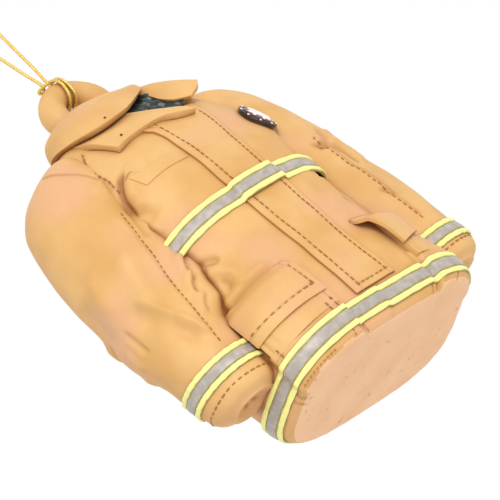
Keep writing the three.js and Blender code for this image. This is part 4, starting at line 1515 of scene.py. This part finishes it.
@dataclass
class Fittings:
    """Storm flap, pockets, name tab, badge and what is stitched on the body."""

    palette: Palette

    def storm_flap(self) -> None:
        """The flap over the closure, which curves away under the collar at its top."""

        def place(u: Array, v: Array) -> tuple[Array, dict[str, Array]]:
            z = FLAP_LOW + (FLAP_HIGH - FLAP_LOW) * v
            right, left = flap_edges(z)
            distance = right + (left - right) * u
            body_lift, _ = body_relief(distance, z)
            from_right, from_left = u * (left - right), (1 - u) * (left - right)
            channel = line_at(from_right, 1.9, 0.3) + line_at(from_left, 1.25, 0.3)
            channel = channel + line_at(z, 8.4, 0.3) * (from_right > 1.7) * (from_left > 1.1)
            channel = np.clip(channel, 0, 1)
            swell = 0.12 * smooth(np.minimum(from_right, from_left), 0.0, 1.0)
            edge = np.minimum(np.minimum(from_right, from_left), z - FLAP_LOW)
            # Painted shade along the flap's edges where it stands off the body, with wash in its stitch
            # channels.
            wash = np.maximum(0.22 * channel, 0.45 * line_at(edge, 0.0, 0.2))
            lift = body_lift + 0.42 + swell - 0.10 * channel
            return BODY.point(distance, z, lift), {"wash": wash}

        flap = panel("storm_flap_cloth", 48, 190, place, 1.0, 0.16)
        finish_piece(flap, self.palette.resin, "painted_resin", "storm_flap")

    def pocket(self, side: Side) -> None:
        """A bellows pocket and its flap."""
        s = side.value

        def bag(u: Array, v: Array) -> tuple[Array, dict[str, Array]]:
            inner_edge = POCKET_INNER + 0.2
            distance = s * (inner_edge + (POCKET_OUTER - inner_edge) * u)
            z = 7.4 + 12.0 * v
            inner = np.minimum(u, 1 - u) * (POCKET_OUTER - inner_edge)
            depth = POCKET_DEPTH + 0.05 + 0.10 * rolling(distance, z, 3.7, 4.0)
            groove = 0.12 * line_at(inner, 0.9, 0.3) + 0.10 * line_at(inner, 2.4, 0.4)
            # Wash and painted shade in the groove near the pocket's sides.
            wash = 0.3 * line_at(inner, 0.9, 0.25)
            rise, _ = body_relief(distance, np.full(len(z), 12.0))
            return BODY.point(distance, z, rise * 0.4 + depth - groove), {"wash": wash}

        pocket = panel(f"pocket_{side.word}_cloth", 90, 60, bag, POCKET_DEPTH + 0.5, 0.3)
        finish_piece(pocket, self.palette.resin, "painted_resin", f"pocket_{side.word}")

        # The left flap lies further in, sags to one corner and stands off with a curl.
        right_side = side is Side.RIGHT
        inner_top, inner_low = (12.2, 11.6) if right_side else (6.9, 10.9)
        outer = POCKET_OUTER + 0.3 if right_side else 20.0
        stand_off = 0.35 if right_side else 0.55
        low_sag, high_sag = (0.9, 0.0) if right_side else (2.0, 1.6)
        deep = 10.4

        def cover(u: Array, v: Array) -> tuple[Array, dict[str, Array]]:
            inner = inner_low + (inner_top - inner_low) * v
            distance = s * (inner + (outer - inner) * u)
            sag = low_sag * u * (1 - v) - high_sag * u * v
            z = 10.6 + deep * v + 0.3 * np.sin(2.2 * u) * v + sag
            up = 1 - smooth(v, 0.72, 1.0)
            bow = 0.2 * np.sin(math.pi * v) + 0.25 * np.sin(math.pi * u)
            curl = 0.0 if right_side else 0.9 * np.exp(-(u / 0.28)) * np.sin(math.pi * np.clip(v * 1.1, 0, 1))
            lift = (POCKET_DEPTH + stand_off + bow + curl) * up + 0.30 * (1 - up)
            lift = lift + 0.12 * rolling(distance, z, 2.2, 5.0)
            rim_low, rim_side = v * deep, u * (outer - inner)
            channel = line_at(rim_low, 2.3, 0.3) * (rim_side > 1.0)
            channel = channel + line_at(rim_side, 1.2, 0.3) * (rim_low > 2.2)
            channel = np.clip(channel, 0, 1) * (1.0 if right_side else 0.3)
            # Painted shade along the flap's fold at its top, with wash in its stitch channels.
            wash = np.maximum(0.22 * channel, 0.8 * smooth(v, 0.965, 1.0))
            return BODY.point(distance, z, lift - 0.12 * channel), {"wash": wash}

        flap = panel(f"pocket_flap_{side.word}_cloth", 90, 70, cover, 0.75, 0.22)
        finish_piece(flap, self.palette.resin, "painted_resin", f"pocket_flap_{side.word}")

    def name_tab(self) -> None:
        """The blank tab on the right chest."""
        wide, high = 10.9, 2.9

        def place(u: Array, v: Array) -> tuple[Array, dict[str, Array]]:
            distance = -17.6 + wide * u - 1.2 * v
            z = 50.4 + high * v + 0.15 * np.sin(3 * u)
            edge = np.minimum(np.minimum(u, 1 - u) * wide, np.minimum(v, 1 - v) * high)
            # Painted shade round its edges where it stands off the chest.
            wash = 0.14 * line_at(edge, 0.0, 0.22)
            rise, _ = body_relief(distance, z)
            return BODY.point(distance, z, rise + 0.16 + 0.06 * smooth(edge, 0.0, 0.5)), {"wash": wash}

        tab = panel("name_tab_cloth", 60, 24, place, 0.5, 0.12)
        finish_piece(tab, self.palette.resin, "painted_resin", "name_tab")

    def badge(self) -> None:
        """A round enamel badge with a plain crossed-bar pattern of its own."""
        centre_s, centre_z, radius = 17.2, 53.0, 4.2

        def disc(rings: Sequence[tuple[float, float]]) -> PlaceRule:
            shares, lifts = np.array(rings, float).T
            steps = np.linspace(0, 1, len(shares))

            def place(u: Array, v: Array) -> tuple[Array, dict[str, Array]]:
                share, lift = np.interp(v, steps, shares), np.interp(v, steps, lifts)
                angle = u * 2 * math.pi
                distance = centre_s + share * radius * np.cos(angle)
                z = centre_z + share * radius * np.sin(angle)
                return BODY.point(distance, z, lift), {}

            return place

        plate = sheet("badge_plate", 64, 24, disc([
            (0.0, -0.3), (0.9, -0.3), (0.98, 0.0), (1.0, 0.5), (0.99, 0.95), (0.94, 1.08),
            (0.88, 0.98), (0.84, 0.82), (0.5, 0.92), (0.0, 0.95),
        ]))
        finish_piece(plate, self.palette.black, "badge_enamel", "badge", angle=50)
        field_disc = sheet("badge_field", 64, 12, disc([
            (0.0, 0.6), (0.74, 0.6), (0.76, 0.95), (0.73, 1.06), (0.4, 1.12), (0.0, 1.14),
        ]))
        finish_piece(field_disc, self.palette.maroon, "badge_enamel", angle=50)
        bars = []
        for turn in (35, 125):
            for offset in (-1.0, 1.0):
                bars.append(self.badge_bar(centre_s, centre_z, math.radians(turn), offset, 2.6))
        bars.append(self.badge_bar(centre_s, centre_z, math.radians(80), 0.0, 0.9))
        pips = [self.badge_pip(centre_s, centre_z, math.radians(20 + 40 * k), 0.905 * radius)
                for k in range(9)]
        relief = joined(bars + pips, "badge_relief")
        finish_piece(relief, self.palette.cream, "badge_enamel", angle=50)

    def badge_bar(self, s: float, z: float, turn: float, offset: float, half: float) -> bpy.types.Object:
        """One small raised bar of the badge's pattern."""

        def place(u: Array, v: Array) -> tuple[Array, dict[str, Array]]:
            around = v * 2 * math.pi
            end = np.sqrt(np.clip(1 - (2 * u - 1) ** 6, 0, 1))
            along = (2 * u - 1) * half
            across = offset + 0.42 * np.cos(around) * end
            lift = 1.1 + 0.28 * np.sin(around) * end
            return BODY.point(s + along * math.cos(turn) - across * math.sin(turn),
                              z + along * math.sin(turn) + across * math.cos(turn), lift), {}

        return sheet("bar", 14, 10, place)

    def badge_pip(self, s: float, z: float, turn: float, reach: float) -> bpy.types.Object:
        """One small dot on the badge's rim."""

        def place(u: Array, v: Array) -> tuple[Array, dict[str, Array]]:
            around, polar = u * 2 * math.pi, v * math.pi
            r = 0.27 * np.sin(polar)
            return BODY.point(s + reach * math.cos(turn) + r * np.cos(around),
                              z + reach * math.sin(turn) + r * np.sin(around), 1.0 - 0.22 * np.cos(polar)), {}

        return sheet("pip", 10, 6, place)

    def build(self) -> None:
        """Makes all of them."""
        self.storm_flap()
        for side in Side:
            self.pocket(side)
        self.name_tab()
        self.badge()


# ---------- collar and ring ----------


def patch_rule(curves: Sequence[Sequence[Sequence[float]]], bulge: float = 0.0,
               sway: float = 0.12) -> PlaceRule:
    """A surface through a few chosen curves.

    Args:
        curves: Each a few points long, from one edge of the surface to the other.
        bulge: How far the middle swells outwards.
        sway: Slow unevenness.

    Returns:
        The rule that sheet takes.
    """

    def place(u: Array, v: Array) -> tuple[Array, dict[str, Array]]:
        lines = np.stack([curve_through(curve, u) for curve in curves])
        at = v * (len(curves) - 1)
        i = np.minimum(at.astype(int), len(curves) - 2)
        padded = np.concatenate([2 * lines[:1] - lines[1:2], lines, 2 * lines[-1:] - lines[-2:-1]])
        k = np.arange(len(u))
        f = (at - i)[:, None]
        spot = through_four(padded[i, k], padded[i + 1, k], padded[i + 2, k], padded[i + 3, k], f)
        out = unit(spot * np.array([1.0, 1.0, 0.0]))
        swell = bulge * np.sin(math.pi * v) + sway * rolling(spot[:, 0], spot[:, 2], 1.4, 4.0)
        edge = np.minimum(v, 1 - v)
        # Painted shade along the layer's edges, darkening them a little.
        return spot + out * swell[:, None], {"wash": 0.12 * np.exp(-((edge / 0.03) ** 2))}

    return place


@dataclass
class Collar:
    """The turned-down collar: fall, lapel, left leaf, back and the hanging ring.

    Attributes:
        palette: The finishes.
        thickness: Of each layer.
        rounding: Radius of a layer's edges.
        stud: Radius of a snap dot.
    """

    palette: Palette
    thickness: float = 1.3
    rounding: float = 0.35
    stud: float = 0.27

    def fall(self) -> None:
        """The upper layer, in two lengths that meet behind the ring, and its stand."""
        edge = [(4.4, -10.8, 72.8), (0.2, -12.4, 70.4), (-4.4, -13.1, 68.5), (-9.4, -12.8, 67.6),
                (-13.2, -10.8, 68.5), (-14.8, -6.4, 71.4), (-14.6, -1.2, 73.8), (-9.6, 3.8, 74.0),
                (0.6, 7.4, 73.8)]
        middle = [(4.9, -10.2, 74.2), (0.8, -11.8, 72.8), (-3.6, -12.3, 72.0), (-8.2, -11.6, 72.2),
                  (-11.4, -9.4, 73.2), (-13.2, -5.2, 75.6), (-12.8, -0.8, 77.0), (-8.4, 3.8, 77.0),
                  (0.6, 6.8, 76.8)]
        rim = [(5.5, -9.4, 75.3), (1.6, -10.2, 74.9), (-2.6, -9.8, 75.8), (-6.2, -8.4, 77.0),
               (-8.4, -6.2, 77.8), (-10.0, -3.2, 78.5), (-10.2, 0.0, 78.6), (-6.8, 3.8, 78.6),
               (0.6, 6.2, 78.6)]
        right = panel("collar_fall_right", 130, 44, patch_rule([edge, middle, rim], 0.1),
                      self.thickness, self.rounding)
        far_edge = [(-0.6, 7.4, 73.8), (9.6, 3.8, 74.0), (13.8, -1.6, 73.4), (13.6, -6.2, 71.8),
                    (12.6, -8.6, 70.4)]
        far_middle = [(-0.6, 6.8, 76.8), (8.4, 3.8, 77.0), (12.2, -1.2, 76.4), (12.2, -5.4, 74.8),
                      (11.4, -7.8, 73.4)]
        far_rim = [(-0.6, 6.2, 78.6), (6.8, 3.8, 78.8), (9.6, -0.2, 78.8), (9.4, -4.4, 77.6),
                   (8.4, -7.2, 76.0)]
        left = panel("collar_fall_left", 80, 40, patch_rule([far_edge, far_middle, far_rim], 0.3),
                     self.thickness, self.rounding)
        fall = joined([right, left], "collar_fall")
        finish_piece(fall, self.palette.resin, "painted_resin", "collar_back", angle=55)

        def stand(u: Array, v: Array) -> tuple[Array, dict[str, Array]]:
            angle = u * 2 * math.pi
            level = np.interp(v, [0, 0.25, 0.75, 0.85, 1.0], [62.0, 66.0, 77.4, 77.0, 70.0])
            reach = np.interp(v, [0, 0.25, 0.75, 0.85, 1.0], [0.98, 0.98, 0.80, 0.70, 0.0])
            front = smooth(-np.cos(angle), -0.2, 0.9)
            level = level - np.where(v > 0.3, 5.6 * (1 - front) ** 1.3, 0.0)
            depth = np.where(np.cos(angle) > 0, 10.6, 6.4)
            return np.stack([10.4 * reach * np.sin(angle), -depth * reach * np.cos(angle), level], axis=1), {}

        core = sheet("collar_stand_core", 96, 40, stand)
        finish_piece(core, self.palette.resin, "painted_resin", "collar_stand", angle=60)

    def lapel(self) -> None:
        """The lower layer on the right, which points down over the chest."""
        lower = [(-14.4, -14.3, 61.2), (-11.4, -15.0, 61.6), (-6.4, -15.8, 61.9), (-2.0, -16.3, 61.7),
                 (1.4, -16.8, 60.4), (4.6, -17.1, 59.3)]
        halfway = [(-15.1, -10.6, 67.4), (-11.4, -13.0, 66.0), (-7.4, -14.2, 65.4), (-4.0, -14.8, 65.0),
                   (-1.0, -15.2, 64.0), (2.4, -16.3, 61.9)]
        upper = [(-14.4, -5.8, 72.0), (-12.2, -8.6, 70.0), (-9.6, -10.8, 69.0), (-7.0, -11.9, 68.8),
                 (-5.2, -12.2, 68.9), (-3.9, -12.5, 68.8)]
        lapel = panel("collar_lapel_right", 90, 50, patch_rule([lower, halfway, upper], 0.2, 0.06),
                      self.thickness, 0.3)
        finish_piece(lapel, self.palette.resin, "painted_resin", "collar_leaf_right", angle=55)

    def left_leaf(self) -> None:
        """The leaf on the left, which flares forward."""
        inner = [(4.3, -10.7, 73.0), (4.6, -11.9, 70.6), (4.4, -13.3, 67.8), (5.2, -14.9, 65.0),
                 (8.0, -15.9, 63.4)]
        middle = [(5.0, -10.3, 74.4), (6.2, -12.2, 72.2), (7.2, -14.2, 69.2), (8.4, -15.7, 66.2),
                  (10.4, -16.6, 64.4)]
        rim = [(5.6, -9.2, 75.4), (7.6, -11.0, 74.0), (9.2, -13.2, 71.3), (10.8, -15.2, 68.2),
               (12.1, -16.4, 65.8)]
        back = [(7.6, -7.4, 75.4), (10.8, -7.8, 74.0), (12.8, -9.2, 71.8), (13.8, -11.4, 68.8),
                (13.4, -13.6, 66.2)]
        leaf = panel("collar_leaf_left_cloth", 70, 60, patch_rule([inner, middle, rim, back], 0.0, 0.05),
                     self.thickness, self.rounding)
        finish_piece(leaf, self.palette.resin, "painted_resin", "collar_leaf_left", angle=55)

    def ring(self) -> None:
        """The fat ring behind the collar, thicker where it meets the casting."""
        choose_only(None)
        bpy.ops.mesh.primitive_torus_add(major_segments=120, minor_segments=56,
                                         major_radius=RING_RADIUS * MM, minor_radius=RING_BAR * MM)
        ring = bpy.context.object
        ring.name = ring.data.name = "hanging_ring_bar"
        count = len(ring.data.vertices)
        co = np.empty(count * 3, np.float32)
        ring.data.vertices.foreach_get("co", co)
        flat = co.reshape(-1, 3).astype(float) / MM
        around = np.arctan2(flat[:, 1], flat[:, 0])
        middle = RING_RADIUS * np.stack([np.cos(around), np.sin(around), np.zeros(count)], axis=1)
        foot = smooth(-np.sin(around), 0.1, 0.9)
        shaped = middle + (flat - middle) * (1 + 0.22 * foot + 0.03 * np.sin(5 * around))[:, None]
        upright = np.stack([shaped[:, 0], RING_Y + shaped[:, 2], RING_Z + shaped[:, 1]], axis=1)
        ring.data.vertices.foreach_set("co", metres(upright).astype(np.float32).ravel())
        in_edit_mode(ring, lambda: bpy.ops.mesh.normals_make_consistent(inside=False))
        finish_piece(ring, self.palette.resin, "painted_resin", "hanging_ring", angle=60)

    def studs(self) -> None:
        """Dark painted snap dots on the collar's layers."""
        spots = ((-9.85, -13.71, 69.04), (-11.56, -14.54, 63.15))
        dots = []
        for x, y, z in spots:
            choose_only(None)
            bpy.ops.mesh.primitive_uv_sphere_add(segments=14, ring_count=8, radius=self.stud * MM)
            dot = bpy.context.object
            centre = metres(np.array([x, y, z]))
            in_edit_mode(dot, lambda: bpy.ops.transform.translate(value=tuple(float(c) for c in centre)))
            dots.append(dot)
        finish_piece(joined(dots, "collar_snap_dots"), self.palette.maroon, "badge_enamel", angle=80)

    def build(self) -> None:
        """Makes the collar's layers and the ring."""
        self.studs()
        self.fall()
        self.lapel()
        self.left_leaf()
        self.ring()


# ---------- stitches ----------


@dataclass
class Stitching:
    """Rows of painted stitches, each a short raised dash.

    Attributes:
        palette: The finishes.
        pitch: From one stitch to the next.
        length: Of one stitch.
        width: Of one stitch.
        height: Of one stitch.
        corners: One stitch's vertices, in its own size.
        faces: Its faces.
        placed: The vertices of every stitch set so far.
    """

    palette: Palette
    pitch: float = 1.35
    length: float = 0.86
    width: float = 0.27
    height: float = 0.16
    corners: Array = field(init=False)
    faces: list[tuple[int, ...]] = field(init=False)
    placed: list[Array] = field(init=False, default_factory=list)

    def __post_init__(self) -> None:
        """Shapes one stitch: a small bar with its edges taken off."""
        choose_only(None)
        bpy.ops.mesh.primitive_cube_add(size=1.0)
        cube = bpy.context.object
        in_edit_mode(cube, lambda: bpy.ops.mesh.bevel(offset=0.22, segments=1, affect="EDGES"))
        co = np.empty(len(cube.data.vertices) * 3, np.float32)
        cube.data.vertices.foreach_get("co", co)
        self.faces = [tuple(face.vertices) for face in cube.data.polygons]
        self.corners = co.reshape(-1, 3).astype(float)
        bpy.data.objects.remove(cube, do_unlink=True)

    def set_row(self, line: Array, normal: Array, scale: float) -> None:
        """Sets stitches along a line.

        Args:
            line: Points in coat millimetres at an even spacing.
            normal: The surface's direction at each of them.
            scale: Size of these stitches.
        """
        ahead = unit(np.gradient(line, axis=0))
        across = unit(np.cross(normal, ahead))
        for k in range(len(line)):
            # Hand-painted, so no two are quite as long.
            size = scale * (1 + 0.15 * math.sin(7.3 * k))
            body = (
                ahead[k] * self.corners[:, :1] * self.length * size
                + across[k] * self.corners[:, 1:2] * self.width * size
                + normal[k] * self.corners[:, 2:] * self.height
            )
            self.placed.append(line[k] + body)

    def body_rows(self) -> None:
        """The rows on the flap, the armhole, the pocket's sides and the hem."""
        flap = 0.54
        for points, lift, scale in (
            ([(-4.0, 61.0), (-4.2, 53.0), (-5.1, 45.0), (-5.5, 37.0), (-5.4, 28.0), (-5.1, 17.0),
              (-5.0, 8.6)], flap, 1.0),
            ([(-5.0, 8.4), (-1.5, 8.4), (2.8, 8.4)], flap, 0.95),
            ([(6.2, 59.0), (4.3, 49.0), (3.4, 44.0), (2.5, 36.0), (2.2, 30.0), (2.4, 21.0), (2.8, 8.6)],
             flap, 0.9),
            ([(-17.2, 67.0), (-19.0, 64.5), (-20.2, 61.0), (-20.6, 57.4), (-21.4, 54.6)], 0.2, 1.0),
            ([(-12.6, 10.2), (-12.6, 8.6), (-12.6, 7.2)], 0.14, 0.95),
            ([(-14.2, 10.2), (-14.1, 8.8), (-14.1, 7.2)], 0.14, 0.85),
            ([(-26.0, 10.6), (-26.0, 8.8), (-26.0, 7.2)], 0.14, 0.95),
            ([(-26.4, 1.0), (-23.0, 0.95), (-19.0, 0.95)], 0.04, 0.6),
            ([(-13.8, 1.7), (-13.9, 1.2), (-14.0, 0.7)], 0.04, 0.6),
        ):
            line = evenly(curve_through(points, np.linspace(0, 1, 60)), self.pitch * scale)
            across, up = line.T
            self.set_row(on_body(across, np.maximum(up, 0.2), lift), BODY.normal(across, up), scale)

    def pocket_flap_rows(self) -> None:
        """The row along the right pocket flap's lower edge and up its inner side."""
        lift = POCKET_DEPTH + 0.62
        for points, scale, rise in (
            ([(-26.4, 13.9), (-22.0, 13.4), (-18.0, 13.1), (-13.2, 12.9)], 1.05, lift),
            ([(-12.9, 13.4), (-13.1, 16.0), (-13.3, 18.4)], 0.95, lift - 0.1),
        ):
            line = evenly(curve_through(points, np.linspace(0, 1, 60)), self.pitch * scale)
            across, up = line.T
            self.set_row(BODY.point(across, up, rise), BODY.normal(across, up), scale)

    def sleeve_rows(self, side: Side) -> None:
        """The rows on a sleeve: down its front seam and round its cuff, by angle and height."""
        sleeve = Sleeve(side)
        seam = [(-1.62, 50.0), (-1.54, 43.0), (-1.53, 38.4), (-1.46, 32.5), (-1.43, 27.3), (-1.38, 18.8)]
        if side is Side.LEFT:
            seam = [(-1.56, 43.5), (-1.60, 38.0), (-1.66, 33.0), (-1.70, 26.0), (-1.72, 18.4)]
        cuff = [(-3.0, 10.0), (-2.2, 9.9), (-1.57, 10.0), (-0.8, 10.2), (0.0, 9.8), (0.8, 9.8), (1.6, 9.9),
                (2.6, 10.0)]
        for points, scale in ((seam, 0.95), (cuff, 1.1)):
            knots = curve_through(points, np.linspace(0, 1, 200))
            spots = sleeve.point(knots[:, 0], knots[:, 1], 0.05)
            out = sleeve.point(knots[:, 0], knots[:, 1], 1.05) - spots
            both = evenly(np.hstack([spots, out]), self.pitch * scale)
            self.set_row(both[:, :3], unit(both[:, 3:]), scale)

    def build(self) -> None:
        """Sets every row and makes one mesh of all the stitches."""
        self.body_rows()
        self.pocket_flap_rows()
        for side in Side:
            self.sleeve_rows(side)
        count = len(self.corners)
        vertices = metres(np.vstack(self.placed))
        faces = [tuple(i + count * k for i in face) for k in range(len(self.placed)) for face in self.faces]
        mesh = bpy.data.meshes.new("stitches")
        mesh.from_pydata(vertices.tolist(), [], faces)
        obj = bpy.data.objects.new("stitches", mesh)
        bpy.context.scene.collection.objects.link(obj)
        finish_piece(obj, self.palette.thread, "painted_resin")


# ---------- assembly ----------


def main() -> None:
    """Builds the ornament around its frame, in order."""
    logging.basicConfig(level=logging.INFO, format="%(name)s: %(message)s")
    Studio().build()
    palette = Palette()
    Cord().build(palette)
    Torso().build(palette)
    for side in Side:
        Sleeve(side).build(palette)
    Band("hem_band", hem_band_point, 420, seed=0.4).build(palette)
    Band("chest_band", chest_band_point, 380, seed=1.7).build(palette)
    for side in Side:
        Band(f"sleeve_band_{side.word}", Sleeve(side).band_point, 160, seed=2.0 + side.value).build(palette)
    Fittings(palette).build()
    Collar(palette).build()
    Stitching(palette).build()


if __name__ == "__main__":
    main()
